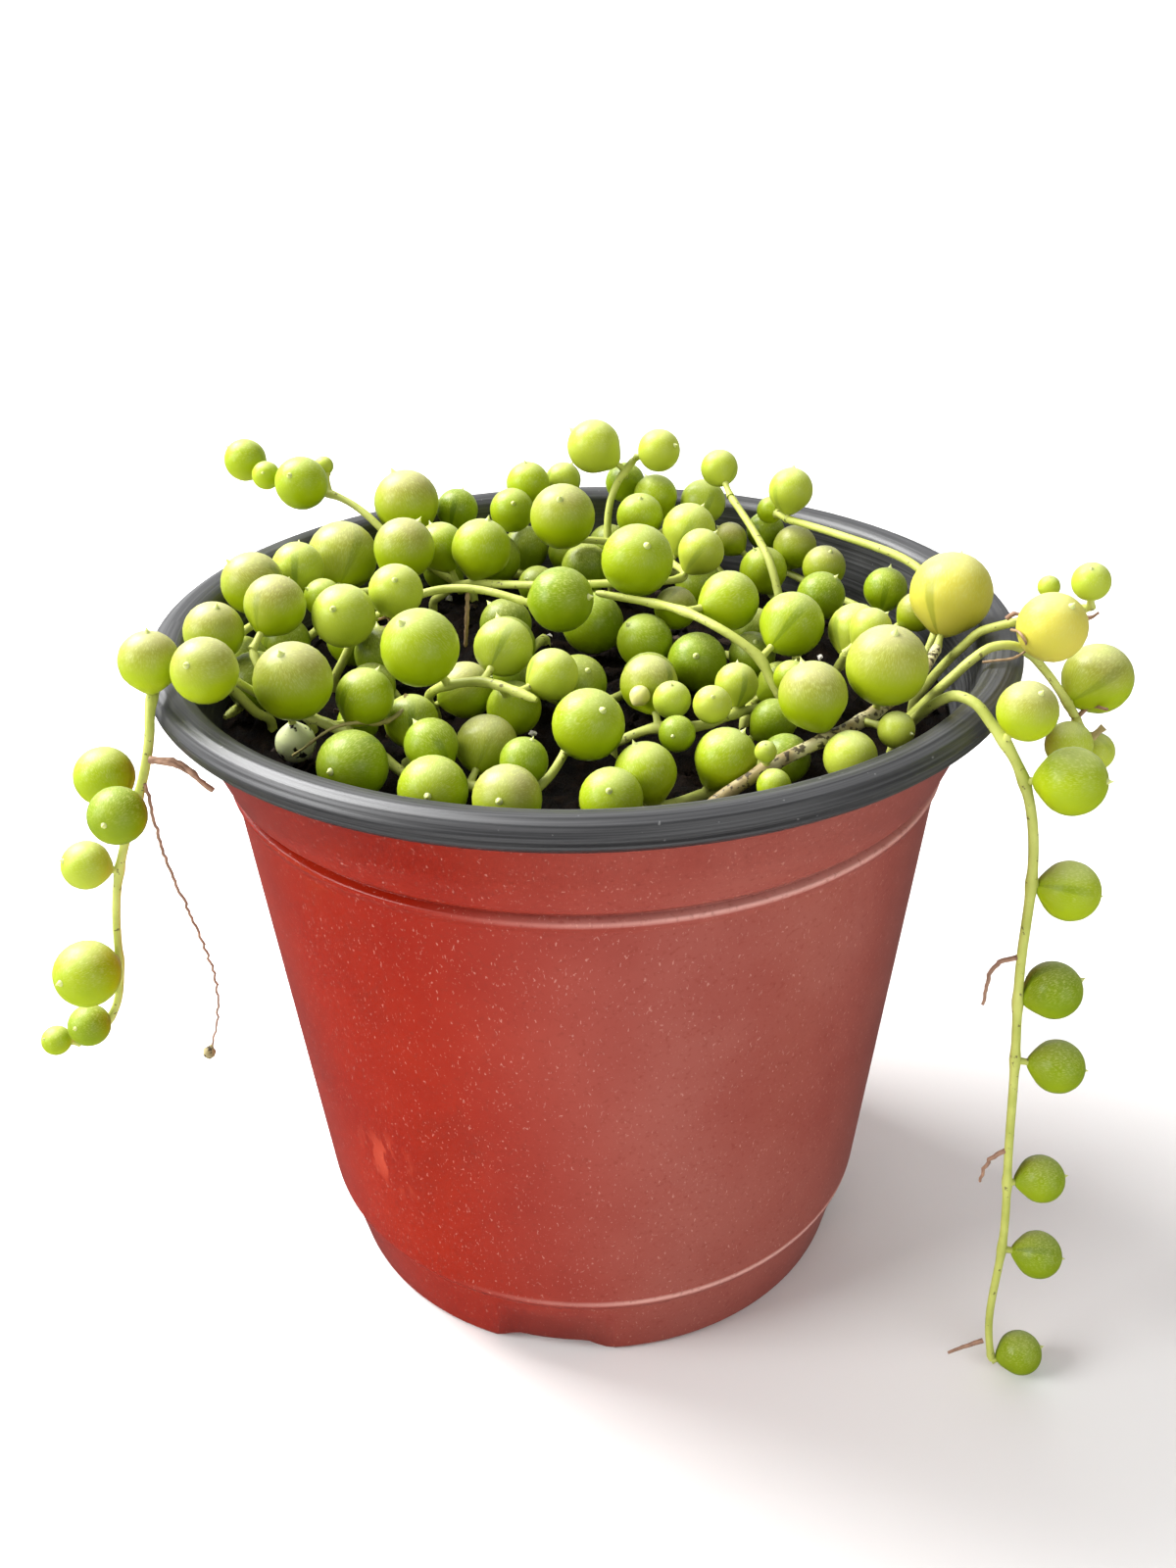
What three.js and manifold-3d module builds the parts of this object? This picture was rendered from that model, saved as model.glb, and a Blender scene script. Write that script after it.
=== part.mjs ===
// A string of pearls in a nursery pot: a thermoformed plastic pot with a rolled rim, the soil
// that fills it, and leafy stems that lie in a heap on the soil. Three of them trail over the rim.
// Millimetres, +Z up, with the origin on the pot's axis at the surface that the pot stands on.

import * as THREE from 'three';
import { mergeVertices } from 'three/addons/utils/BufferGeometryUtils.js';
import Module from 'manifold-3d';

const wasm = await Module();
wasm.setup();

// ---- driving dimensions ----

const CLEARANCE = 0.35; // between pieces that touch
const SETTLE_ROOM = 0.5; // between stems and pearls as they lie
const ROUND_SIDES = 32; // facets round the pot and the soil

const POT_HEIGHT = 85;
const RIM_RADIUS = 50;
const RIM_ROLL = 1.8; // radius of the rolled edge
const RIM_INNER_RADIUS = 46.2;
const COLLAR_TOP = { radius: 46.4, height: 81.4 };
const COLLAR_FOOT = { radius: 43.0, height: 72 };
const COLLAR_GROOVE = { radius: 41.7, height: 70 };
const WALL_TOP = { radius: 42.0, height: 68.8 };
const WALL_FOOT = { radius: 35.9, height: 11.2 };
const FOOT_RING = { radius: 35.75, height: 10.3 };
const FOOT_TOP = { radius: 35.0, height: 9.5 };
const FOOT_RADIUS = 32.9;
const FOOT_WIDTH = 2.2; // of the flat ring that the pot stands on
const WALL_THICKNESS = 0.9;
const BASE_RISE = 2.2; // underside of the raised base
const BASE_THICKNESS = 1;
const DRAIN_COUNT = 4;
const DRAIN_HOLE = { radius: 3.5, circle: 21 };
const NOTCH = { length: 16, ramp: 3.6, height: 2 };
const NOTCH_TURN = -100; // degrees, of the first notch in the foot

const SOIL_EDGE_HEIGHT = 74.6;
const SOIL_CROWN = 1.6; // rise from the edge to the middle
const SOIL_LUMP = 0.5;
const PLANT_HOLE = { radius: 1.6, depth: 5.1, sides: 5 };

const STEM = { radius: 0.56, sides: 5, ballStep: 2.5, facetStep: 5.8 };
const OLD_STEM_RADIUS = 0.7;
const LOW_STEM = { sides: 4, facetStep: 6 };
const ROOT_DEPTH = 4.5; // how far a stem stands in its hole
const STALK = { radius: 0.42, length: 0.9, sunk: 0.4 }; // between the stem and a pearl
const STALK_PLAY = { less: 0.6, more: 1.2 }; // how far a stalk may differ from that length
const TIP = { length: 0.65, radius: 0.2 }; // the point beyond a pearl's round end
const SMALL_PEARL = 3.3; // radius below which a pearl has fewer facets
const PEARL_FACETS = { sides: 7, turns: [45, 85, 122, 157] };
const SMALL_PEARL_FACETS = { sides: 6, turns: [52, 98, 146] };
const HAIR_ROOT = { radius: 0.3, sides: 3 };

const SETTLE = { rounds: 180, lastFree: 60, homing: 0.06, push: 0.5 };
const SMOOTHING = { led: 0.2, routed: 0.05 }; // share by which a stem straightens in a round
const FACET_ALLOWANCE = 0.3; // between the rule for a round surface and its facets
const COLLAR_REACH = 43; // how far out a stem that isn't led over the rim may lie
const FOOT_BALL_LIFT = 1;

// ---- the leafy stems ----
// A pearl is [x, y, z, radius]. A stem with a route runs through it, and each of its pearls hangs
// on the nearest point. A stem with no route is led past its pearls by a rule.

const leafyStems = [
  {
    name: 'string_left_trailing',
    root: [-36, -9],
    route: [[-41, -11, 84.4], [-44.8, -15.5, 86.8], [-45, -20.4, 86.6], [-43.6, -24.4, 86.6],
      [-44, -26.4, 84.8], [-44.8, -27.2, 81.2],
      [-46, -25.5, 77.5], [-49.2, -24.6, 71], [-51.8, -24, 64.2], [-52.9, -24, 58], [-53, -24, 51],
      [-53.4, -24.4, 48], [-54.8, -23, 45], [-57.4, -23, 43], [-59.4, -24.2, 42.6]],
    pearls: [[-44.2, -23.1, 89, 3.15], [-51.9, -21, 75.8, 3.25], [-48.2, -29.6, 75.6, 3.05],
      [-53.8, -26, 67.6, 2.65], [-55.4, -27.5, 54.6, 3.7], [-56.9, -25.4, 46, 2.4],
      [-61.1, -26, 44.4, 1.7]],
    hairRoots: [[[-44.8, -27, 80.6], [-41.6, -27.6, 80], [-39.2, -26.4, 77]],
      [[-46, -26, 77.4], [-45, -26.2, 67.7], [-43.2, -26, 59.5], [-42, -26, 52.3],
        [-42.5, -26, 46.8], [-44.2, -26, 41.4]]],
  },
  {
    name: 'string_right_trailing',
    root: [33, -20],
    route: [[34, -24, 83], [37.8, -29.5, 86.9], [39.8, -32, 85.8], [41.9, -33.5, 83.7],
      [43.6, -34, 80.6], [45.1, -34, 73.9], [45.6, -34, 65.7], [45.2, -34, 58.3], [46, -34.5, 48.4],
      [46.4, -35, 39.3], [46.7, -35, 32.2], [47.7, -35.5, 19.1], [46.8, -36, 10.1],
      [46.5, -36.5, 4.4], [47.7, -37, 1.6]],
    pearls: [[42.3, -35, 88, 2.95], [47.2, -36, 80.8, 3.4], [49.4, -34, 66.9, 3.15],
      [49.3, -34, 54.4, 3.1], [50.7, -35, 44.9, 2.95], [50.9, -35, 28.7, 2.7],
      [51.6, -36, 17.9, 2.75], [50.9, -37.2, 3, 2.6]],
    hairRoots: [[[45.1, -34, 58.8], [42.8, -34, 57.8], [41.9, -34, 52.7]],
      [[46.7, -35, 33.2], [44.8, -35, 31.8], [43.9, -35, 28.5]],
      [[46.5, -36.5, 4.4], [44.5, -36.5, 3.5], [42.5, -36.5, 2.4]]],
  },
  {
    name: 'string_right_short',
    root: [35, -14],
    route: [[38.3, -17, 82.5], [40.8, -17, 85], [43.6, -16.8, 86.9], [46.6, -16.3, 86.9],
      [51.4, -14, 82], [55, -13, 76.4]],
    pearls: [[49.6, -17.4, 89.6, 3.7], [57.4, -11, 80.2, 3.95], [52.8, -18, 75.5, 2.6],
      [57.3, -14, 72.6, 2.2]],
    hairRoots: [[[55, -13, 76.4], [56.2, -13.6, 78], [57.4, -15.6, 78.6]]],
  },
  {
    name: 'string_right_shoot',
    root: [38, -7],
    route: [[42, -9, 84], [46.5, -11, 87.2], [52, -12.4, 88.4], [54.4, -14, 90]],
    pearls: [[53, -16, 93.2, 2.05], [49.8, -13.4, 92.6, 1.2]],
  },
  {
    name: 'string_back_left_sprig',
    root: [-15, 29],
    route: [[-24, 28.6, 83.5], [-27.8, 30, 88], [-32.5, 32.4, 90.1], [-38, 35.2, 88.4],
      [-42, 37, 90.4]],
    pearls: [[-37.6, 31.6, 91.6, 3.5], [-34.8, 36, 93.4, 1.3], [-41.4, 33.4, 92, 1.9],
      [-45.6, 38, 93, 2.85]],
  },
  {
    name: 'string_back_twin',
    root: [4, 32],
    route: [[3.4, 32, 83], [3, 33, 88], [5, 36.4, 91.2], [7.6, 37.4, 92.4]],
    pearls: [[6.6, 40.8, 87.6, 2.75], [1.9, 37, 94.2, 3.6], [10.6, 35, 94, 2.85]],
  },
  {
    name: 'string_back_right_upright',
    root: [25.5, 14],
    route: [[24.5, 17.8, 84], [22, 24, 87], [19.8, 28.9, 89.4]],
    pearls: [[18.6, 33.2, 91.9, 2.5]],
  },
  {
    name: 'string_far_right',
    root: [38.5, -2.5],
    route: [[42.2, -1, 82.5], [43, 3.4, 85.6], [40.4, 9, 87.6], [34.6, 13.4, 88], [29.2, 21.8, 88.2]],
    pearls: [[27, 27.6, 89.2, 2.9], [24.5, 32.6, 87.6, 1.8]],
  },
  {
    name: 'string_back_row_left',
    root: [-25, 21],
    pearls: [[-23.1, 32.7, 87.5, 4.35], [-17.5, 35.5, 85.5, 2.85], [-9.9, 34.5, 85, 3.0],
      [-7.4, 39.6, 88, 3.0], [-2.6, 43.4, 87.6, 2.5]],
  },
  {
    name: 'string_back_row_right',
    root: [21, 28],
    pearls: [[16.1, 36, 87, 3.1], [10.8, 36.4, 87, 3.0], [7.7, 28.3, 86, 3.1],
      [-2.4, 23.2, 89, 4.2]],
  },
  {
    name: 'string_crown',
    root: [-20, 25],
    pearls: [[-18.3, 23.9, 85, 3.2], [-13.1, 19.2, 86, 3.8], [6.6, 5.2, 89.2, 4.3],
      [15, 15.3, 86, 2.9], [14.1, 24.8, 86, 3.5]],
  },
  {
    name: 'string_left_rim',
    root: [-27, 8],
    pearls: [[-32.3, 9.7, 84, 2.4], [-22.4, 17, 87, 3.85], [-31.2, 23, 84.3, 4.55],
      [-35.9, 15.4, 85, 3.3], [-39.7, 8.2, 86, 3.8], [-42.1, -7.3, 86, 3.4]],
  },
  {
    name: 'string_left_cluster',
    root: [-31, -11],
    route: [[-35, -13, 80.6], [-37, -12, 82.8], [-37, -9.4, 85]],
    pearls: [[-34.8, -4.5, 88.5, 3.5]],
  },
  {
    name: 'string_front_left',
    root: [-17.6, -26.4],
    route: [[-20.5, -24.6, 79], [-24, -22.6, 80.6], [-29.5, -19.2, 81.4], [-34, -17, 82],
      [-35.8, -18.6, 84.4], [-36.6, -22, 87.4]],
    pearls: [[-24.3, -15.4, 78.7, 2.3], [-22.6, -19.8, 84, 3.1], [-23.8, -28.4, 80.2, 3.7],
      [-30, -21.6, 86.6, 4.15], [-31.4, -18.6, 77.9, 2.2], [-38.2, -25.9, 90, 3.4]],
  },
  {
    name: 'string_across_left',
    root: [-30, 1],
    route: [[-25, 3, 83.4], [-19.9, 5.1, 86.5], [-13.4, 5, 87], [-6.3, 1, 86]],
    pearls: [[-26.8, -5.7, 88, 3.65], [-22.4, 0.6, 87.4, 3.2], [-2.7, -0.9, 87, 3.8]],
  },
  {
    name: 'string_centre',
    root: [-17, -9],
    route: [[-18.6, -14, 82], [-14.4, -16.8, 84], [-10, -18.8, 85.4], [-5, -22.6, 84.4]],
    pearls: [[-17.7, -18.8, 88.7, 4.15], [-12, -10.6, 80.6, 3.2], [-7.8, -15.9, 81, 3.0],
      [-8.4, -12, 85.4, 3.25], [-3.4, -18.4, 85.4, 2.8]],
  },
  {
    name: 'string_right_across',
    root: [23, -13],
    route: [[20.1, -10.6, 83.6], [13.7, -7.2, 86.6], [8.6, -0.6, 86.6], [1.6, 3.6, 86]],
    pearls: [[24.3, -3.7, 84.6, 3.7], [17.5, -0.1, 86.2, 3.5], [11.8, 6.1, 81.4, 2.6]],
  },
  {
    name: 'string_old_branch',
    root: [8, -38],
    old: true,
    route: [[13, -34.6, 79.6], [19.7, -31.4, 81.8], [26, -28.4, 82.6], [31.4, -22.6, 83],
      [36.4, -16, 82.6], [39.6, -9, 83.6]],
    pearls: [[18.2, -36, 81, 1.7], [17.6, -33.4, 83.4, 1.1], [22.9, -27.5, 86.6, 3.5], [26.1, -32, 82, 2.7],
      [31.4, -29, 84, 1.9], [30.6, -26, 88.2, 4.15], [42, -4.8, 88, 4.65]],
  },
  {
    name: 'string_young_tip',
    root: [3, -19],
    pearls: [[7, -16.6, 83, 3.15], [9, -23.2, 84.4, 2.0], [9.3, -29, 82.6, 1.9],
      [13, -25.3, 84.8, 2.0], [16.2, -17.1, 83, 2.35], [21.9, -12.2, 81.6, 1.95]],
  },
  {
    name: 'string_right_low',
    root: [26, 5],
    pearls: [[29.6, 11.4, 82, 3.0], [24.3, 22.5, 80.4, 3.1], [19.9, 31.6, 82.6, 2.3],
      [24.9, 33.6, 83.6, 2.6], [28.3, 27.6, 82, 2.9],
      [31.3, 20.6, 82, 2.8], [37.7, 11.3, 82.4, 2.7], [40.3, 5.4, 82, 2.4]],
  },
  {
    name: 'string_right_pair',
    root: [27, -5],
    pearls: [[30.7, -6.6, 84, 3.1], [31.5, -10.6, 86.6, 2.35]],
  },
  {
    name: 'string_front_row_left',
    root: [-19, -22],
    pearls: [[-18.9, -17.8, 78.8, 3.0], [-15.1, -27, 81.2, 2.8], [-15.2, -34.1, 80.6, 3.55],
      [-10.6, -22.8, 80.6, 3.3], [-8.2, -39.3, 82.2, 3.4], [-5.7, -32.2, 80.5, 2.45],
      [0.3, -28.2, 84.2, 3.7]],
  },
  {
    name: 'string_front_row_right',
    root: [0, -33],
    pearls: [[2.4, -38.1, 81.4, 3.1], [6.3, -32.5, 79.9, 3.15], [13.8, -29.4, 80.4, 3.2],
      [20.5, -27.6, 79, 2.6], [19.9, -19.8, 80.1, 2.5]],
  },
  {
    name: 'string_middle_low',
    root: [3, 13],
    pearls: [[1.7, 7.5, 80, 3.8], [7.6, 1, 79.6, 3.3], [13.4, -3.4, 79.6, 3.45]],
  },
];

// Stems that lie flat on the soil under the others, each on an arc round the pot's axis.
const lowStems = [
  { name: 'string_low_back', circle: 38.5, from: 62, to: 124, pearls: 7 },
  { name: 'string_low_left', circle: 38.5, from: 156, to: 196, pearls: 4 },
  { name: 'string_low_middle_back', circle: 26.5, from: 50, to: 110, pearls: 4 },
  { name: 'string_low_middle_left', circle: 26, from: 166, to: 202, pearls: 3 },
  { name: 'string_low_middle_right', circle: 22, from: -32, to: 22, pearls: 3 },
  { name: 'string_low_centre', circle: 11, from: 120, to: 330, pearls: 5 },
];
const LOW_PEARL = { smallest: 2.6, largest: 3.5, sway: 1.5, lift: 0.6, seed: 18 };

// ---- solids ----

function toSolid(geometry) {
  geometry.deleteAttribute('normal');
  geometry.deleteAttribute('uv');
  const merged = mergeVertices(geometry, 1e-4);
  return new wasm.Manifold(new wasm.Mesh({
    numProp: 3,
    vertProperties: new Float32Array(merged.attributes.position.array),
    triVerts: new Uint32Array(merged.index.array),
  }));
}

function toGeometry(solid) {
  const mesh = solid.getMesh();
  const geometry = new THREE.BufferGeometry();
  geometry.setAttribute('position', new THREE.BufferAttribute(mesh.vertProperties, 3));
  geometry.setIndex(new THREE.BufferAttribute(mesh.triVerts, 1));
  geometry.computeVertexNormals();
  return geometry;
}

function turned(profile, sides) {
  const points = profile.map(([radius, height]) => new THREE.Vector2(radius, height));
  const geometry = new THREE.LatheGeometry(points, sides);
  return geometry.rotateX(Math.PI / 2);
}

function tube(path, radius, sides, steps) {
  const section = new THREE.Shape();
  for (let i = 0; i < sides; i += 1) {
    const angle = (2 * Math.PI * i) / sides;
    section.lineTo(radius * Math.cos(angle), radius * Math.sin(angle));
  }
  return new THREE.ExtrudeGeometry(section, { steps, bevelEnabled: false, extrudePath: path });
}

function degrees(angle) {
  return (angle * Math.PI) / 180;
}

// ---- the pot ----

const rimMiddle = { radius: RIM_RADIUS - RIM_ROLL, height: POT_HEIGHT - RIM_ROLL };

function insideOf(place) {
  return [place.radius - WALL_THICKNESS, place.height];
}

function rolledRim() {
  const turns = [-90, -35, 20, 85];
  return turns.map((turn) => [
    rimMiddle.radius + RIM_ROLL * Math.cos(degrees(turn)),
    rimMiddle.height + RIM_ROLL * Math.sin(degrees(turn)),
  ]);
}

function potProfile() {
  const innerFoot = FOOT_RADIUS - FOOT_WIDTH;
  return [
    [0, BASE_RISE],
    [innerFoot - 0.6, BASE_RISE],
    [innerFoot, 0],
    [FOOT_RADIUS, 0],
    [FOOT_TOP.radius, FOOT_TOP.height],
    [FOOT_RING.radius, FOOT_RING.height],
    [WALL_FOOT.radius, WALL_FOOT.height],
    [WALL_TOP.radius, WALL_TOP.height],
    [COLLAR_GROOVE.radius, COLLAR_GROOVE.height],
    [COLLAR_FOOT.radius, COLLAR_FOOT.height],
    [COLLAR_TOP.radius + 0.8, COLLAR_TOP.height],
    ...rolledRim(),
    [RIM_INNER_RADIUS, POT_HEIGHT - 0.45],
    [COLLAR_TOP.radius - WALL_THICKNESS, COLLAR_TOP.height],
    insideOf(COLLAR_FOOT),
    insideOf(COLLAR_GROOVE),
    insideOf(WALL_FOOT),
    [FOOT_RADIUS - WALL_THICKNESS + 0.6, BASE_RISE + BASE_THICKNESS],
    [0, BASE_RISE + BASE_THICKNESS],
  ];
}

function notchCutter(turn) {
  const half = NOTCH.length / 2;
  const outline = new THREE.Shape([
    new THREE.Vector2(-half, -1),
    new THREE.Vector2(half, -1),
    new THREE.Vector2(half, 0),
    new THREE.Vector2(half - NOTCH.ramp, NOTCH.height),
    new THREE.Vector2(NOTCH.ramp - half, NOTCH.height),
    new THREE.Vector2(-half, 0),
  ]);
  const geometry = new THREE.ExtrudeGeometry(outline, { depth: 12, bevelEnabled: false });
  geometry.rotateX(Math.PI / 2);
  geometry.translate(0, FOOT_RADIUS + 4, 0);
  geometry.rotateZ(degrees(turn - 90));
  return toSolid(geometry);
}

function drainCutter(turn) {
  const geometry = new THREE.CylinderGeometry(DRAIN_HOLE.radius, DRAIN_HOLE.radius, 4, 12);
  geometry.rotateX(Math.PI / 2);
  geometry.translate(DRAIN_HOLE.circle, 0, BASE_RISE);
  geometry.rotateZ(degrees(turn));
  return toSolid(geometry);
}

function pot() {
  let solid = toSolid(turned(potProfile(), ROUND_SIDES));
  const pitch = 360 / DRAIN_COUNT;
  for (let i = 0; i < DRAIN_COUNT; i += 1) {
    solid = solid.subtract(notchCutter(NOTCH_TURN + i * pitch));
    solid = solid.subtract(drainCutter(NOTCH_TURN + (i + 0.5) * pitch));
  }
  return solid;
}

// ---- the soil ----

function innerRadiusAt(height) {
  const places = [WALL_FOOT, COLLAR_GROOVE, COLLAR_FOOT, COLLAR_TOP];
  let radius = WALL_FOOT.radius;
  for (let i = 1; i < places.length; i += 1) {
    const low = places[i - 1];
    const high = places[i];
    if (height >= low.height) {
      const share = Math.min(1, (height - low.height) / (high.height - low.height));
      radius = low.radius + share * (high.radius - low.radius);
    }
  }
  return radius - WALL_THICKNESS;
}

function soilHeight(x, y) {
  const out = Math.min(1, Math.hypot(x, y) / innerRadiusAt(SOIL_EDGE_HEIGHT));
  const lumps = Math.sin(0.35 * x + 1.3) * Math.cos(0.31 * y - 0.4) + 0.6 * Math.sin(0.22 * (x - y));
  return SOIL_EDGE_HEIGHT + SOIL_CROWN * (1 - out * out) + SOIL_LUMP * lumps * (1 - out ** 6);
}

function soilBody() {
  const floor = BASE_RISE + BASE_THICKNESS + CLEARANCE;
  const edge = innerRadiusAt(SOIL_EDGE_HEIGHT) - CLEARANCE;
  const wall = [WALL_FOOT, COLLAR_GROOVE, COLLAR_FOOT];
  const profile = [
    [0, floor],
    [FOOT_RADIUS - WALL_THICKNESS + 0.2, floor],
    ...wall.map((place) => [place.radius - WALL_THICKNESS - CLEARANCE, place.height]),
    [edge, SOIL_EDGE_HEIGHT],
    [0.75 * edge, SOIL_EDGE_HEIGHT],
    [0.4 * edge, SOIL_EDGE_HEIGHT],
    [0, SOIL_EDGE_HEIGHT],
  ];
  const geometry = turned(profile, ROUND_SIDES);
  const place = geometry.attributes.position;
  for (let i = 0; i < place.count; i += 1) {
    if (Math.abs(place.getZ(i) - SOIL_EDGE_HEIGHT) < 0.01) {
      place.setZ(i, soilHeight(place.getX(i), place.getY(i)));
    }
  }
  return toSolid(geometry);
}

function plantHole([x, y]) {
  const { radius, depth, sides } = PLANT_HOLE;
  const geometry = new THREE.CylinderGeometry(radius, radius, 2 * depth, sides);
  geometry.rotateX(Math.PI / 2);
  geometry.translate(x, y, soilHeight(x, y));
  return toSolid(geometry);
}

function soil(plants) {
  let solid = soilBody();
  for (const plant of plants) {
    solid = solid.subtract(plantHole(plant.root));
  }
  return solid;
}

// ---- how the stems lie ----

function seededDraws(seed) {
  let state = seed;
  return () => {
    state = (state * 1664525 + 1013904223) % 4294967296;
    return state / 4294967296;
  };
}

// A low stem's pearls lie on its arc, a little in and out of it, and differ in size.
function lowPearls({ circle, from, to, pearls }, draw) {
  const places = [];
  for (let i = 0; i < pearls; i += 1) {
    const angle = degrees(from + ((to - from) * (i + 0.5)) / pearls);
    const size = LOW_PEARL.smallest + draw() * (LOW_PEARL.largest - LOW_PEARL.smallest);
    const out = circle + LOW_PEARL.sway * (2 * draw() - 1);
    const x = out * Math.cos(angle);
    const y = out * Math.sin(angle);
    places.push([x, y, soilHeight(x, y) + size + LOW_PEARL.lift, size]);
  }
  return places;
}

// The stem passes each pearl below and to one side, left and right in turn.
function routePast(pearls) {
  return pearls.map(([x, y, z, radius], i) => {
    const before = pearls[Math.max(0, i - 1)];
    const after = pearls[Math.min(pearls.length - 1, i + 1)];
    const run = Math.hypot(after[0] - before[0], after[1] - before[1]) || 1;
    const reach = 0.7 * (radius + STALK.length + STEM.radius) * (i % 2 === 0 ? 1 : -1);
    const stemX = x - (reach * (after[1] - before[1])) / run;
    const stemY = y + (reach * (after[0] - before[0])) / run;
    const keptIn = Math.min(1, COLLAR_REACH / Math.hypot(stemX, stemY));
    return [stemX * keptIn, stemY * keptIn, z - Math.abs(reach)];
  });
}

function vector([x, y, z]) {
  return new THREE.Vector3(x, y, z);
}

// Balls stand for the parts of a plant while it settles: a row of them along the stem, one for
// each pearl and a small one at each pearl's point.
function laidOut(plant) {
  const [x, y] = plant.root;
  const ground = soilHeight(x, y);
  const route = (plant.route ?? routePast(plant.pearls)).map(vector);
  const foot = new THREE.Vector3(x, y, ground + FOOT_BALL_LIFT);
  const curve = new THREE.CatmullRomCurve3([foot, ...route]);
  const count = Math.max(3, Math.round(curve.getLength() / STEM.ballStep));
  const radius = plant.old ? OLD_STEM_RADIUS : STEM.radius;
  const stem = curve.getSpacedPoints(count).map((at) => ({ at, home: at.clone(), radius }));
  const pearls = plant.pearls.map((pearl) => {
    const at = vector(pearl);
    const near = stem.map((ball) => ball.at.distanceTo(at));
    const node = Math.max(1, near.indexOf(Math.min(...near)));
    return { at, home: at.clone(), radius: pearl[3], node, tip: new THREE.Vector3() };
  });
  return { ...plant, foot, radius, stem, pearls };
}

function middleOf(place) {
  return [place.radius - WALL_THICKNESS / 2, place.height];
}

// The pot's section as rods in the plane of radius and height: the wall, the collar and the rim.
const potRods = [
  { low: middleOf(WALL_FOOT), high: middleOf(COLLAR_GROOVE), thick: 0.5 },
  { low: middleOf(COLLAR_FOOT), high: middleOf(COLLAR_TOP), thick: 0.6 },
  { low: [rimMiddle.radius - 0.6, rimMiddle.height], high: middleOf(rimMiddle), thick: RIM_ROLL + 0.7 },
];

function clearOfRod(at, { low, high, thick }, room) {
  const out = Math.hypot(at.x, at.y) || 1;
  const along = [high[0] - low[0], high[1] - low[1]];
  const share = ((out - low[0]) * along[0] + (at.z - low[1]) * along[1])
    / (along[0] ** 2 + along[1] ** 2);
  const nearest = Math.min(1, Math.max(0, share));
  const over = out - low[0] - nearest * along[0];
  const up = at.z - low[1] - nearest * along[1];
  const gap = Math.hypot(over, up) || 1;
  const short = Math.max(0, thick + room - gap);
  at.x *= 1 + (short * over) / gap / out;
  at.y *= 1 + (short * over) / gap / out;
  at.z += (short * up) / gap;
}

// Below the rim a stem is kept on its own side of the wall.
function clearOfPot({ at, home }, radius) {
  const room = radius + SETTLE_ROOM;
  const out = Math.hypot(at.x, at.y) || 1;
  if (at.z < POT_HEIGHT - RIM_ROLL) {
    const wall = innerRadiusAt(at.z);
    const inside = Math.hypot(home.x, home.y) < RIM_INNER_RADIUS;
    const outer = wall + 2 * WALL_THICKNESS + room;
    const inner = wall - FACET_ALLOWANCE - room;
    const allowed = inside ? Math.min(out, inner) : Math.max(out, outer);
    at.x *= allowed / out;
    at.y *= allowed / out;
  }
  potRods.forEach((rod) => clearOfRod(at, rod, room));
}

function clearOfGround(point, radius) {
  const out = Math.hypot(point.x, point.y);
  const inside = out < RIM_INNER_RADIUS && point.z > SOIL_EDGE_HEIGHT - 10;
  const ground = inside ? soilHeight(point.x, point.y) + SETTLE_ROOM + FACET_ALLOWANCE : 0;
  point.z = Math.max(point.z, ground + radius);
}

function allBalls(plants) {
  const balls = [];
  plants.forEach((plant, owner) => {
    plant.stem.forEach((ball, i) => balls.push({ kind: 'stem', owner, i, ball, radius: ball.radius }));
    plant.pearls.forEach((ball, i) => {
      balls.push({ kind: 'pearl', owner, i, ball, radius: ball.radius });
      balls.push({ kind: 'tip', owner, i, ball, radius: TIP.radius });
    });
  });
  return balls;
}

function mayTouch(one, other) {
  if (one.owner !== other.owner) return false;
  if (one.kind === 'stem' && other.kind === 'stem') return true;
  if (one.kind !== 'stem' && other.kind !== 'stem') return one.i === other.i;
  const [stem, leaf] = one.kind === 'stem' ? [one, other] : [other, one];
  return Math.abs(stem.i - leaf.ball.node) <= 1;
}

function pointTips(plants) {
  for (const plant of plants) {
    for (const pearl of plant.pearls) {
      const axis = pearl.at.clone().sub(plant.stem[pearl.node].at).normalize();
      pearl.tip.copy(pearl.at).addScaledVector(axis, pearl.radius + TIP.length);
    }
  }
}

function pushApart(balls) {
  const shares = balls.map(() => new THREE.Vector3());
  const away = new THREE.Vector3();
  for (let a = 0; a < balls.length; a += 1) {
    for (let b = a + 1; b < balls.length; b += 1) {
      const one = balls[a];
      const other = balls[b];
      const from = one.kind === 'tip' ? one.ball.tip : one.ball.at;
      const to = other.kind === 'tip' ? other.ball.tip : other.ball.at;
      const room = one.radius + other.radius + SETTLE_ROOM;
      away.subVectors(from, to);
      const gap = away.length();
      if (gap < room && !mayTouch(one, other)) {
        const mobile = one.kind === 'stem' ? 1 : 0.5;
        const otherMobile = other.kind === 'stem' ? 1 : 0.5;
        away.multiplyScalar((room - gap) / (gap || 1) / (mobile + otherMobile));
        shares[a].addScaledVector(away, mobile);
        shares[b].addScaledVector(away, -otherMobile);
      }
    }
  }
  balls.forEach(({ ball }, i) => ball.at.addScaledVector(shares[i], SETTLE.push));
}

// A pearl keeps its stalk's length from its place on the stem.
function holdStalks(plants) {
  const away = new THREE.Vector3();
  for (const plant of plants) {
    for (const pearl of plant.pearls) {
      const node = plant.stem[pearl.node];
      const length = pearl.radius + plant.radius + STALK.length;
      away.subVectors(pearl.at, node.at);
      const gap = away.length();
      const shortest = length - STALK_PLAY.less;
      const wanted = Math.min(Math.max(gap, shortest), length + STALK_PLAY.more);
      away.multiplyScalar((wanted - gap) / (gap || 1));
      pearl.at.addScaledVector(away, 0.3);
      node.at.addScaledVector(away, -0.5);
    }
  }
}

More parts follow.
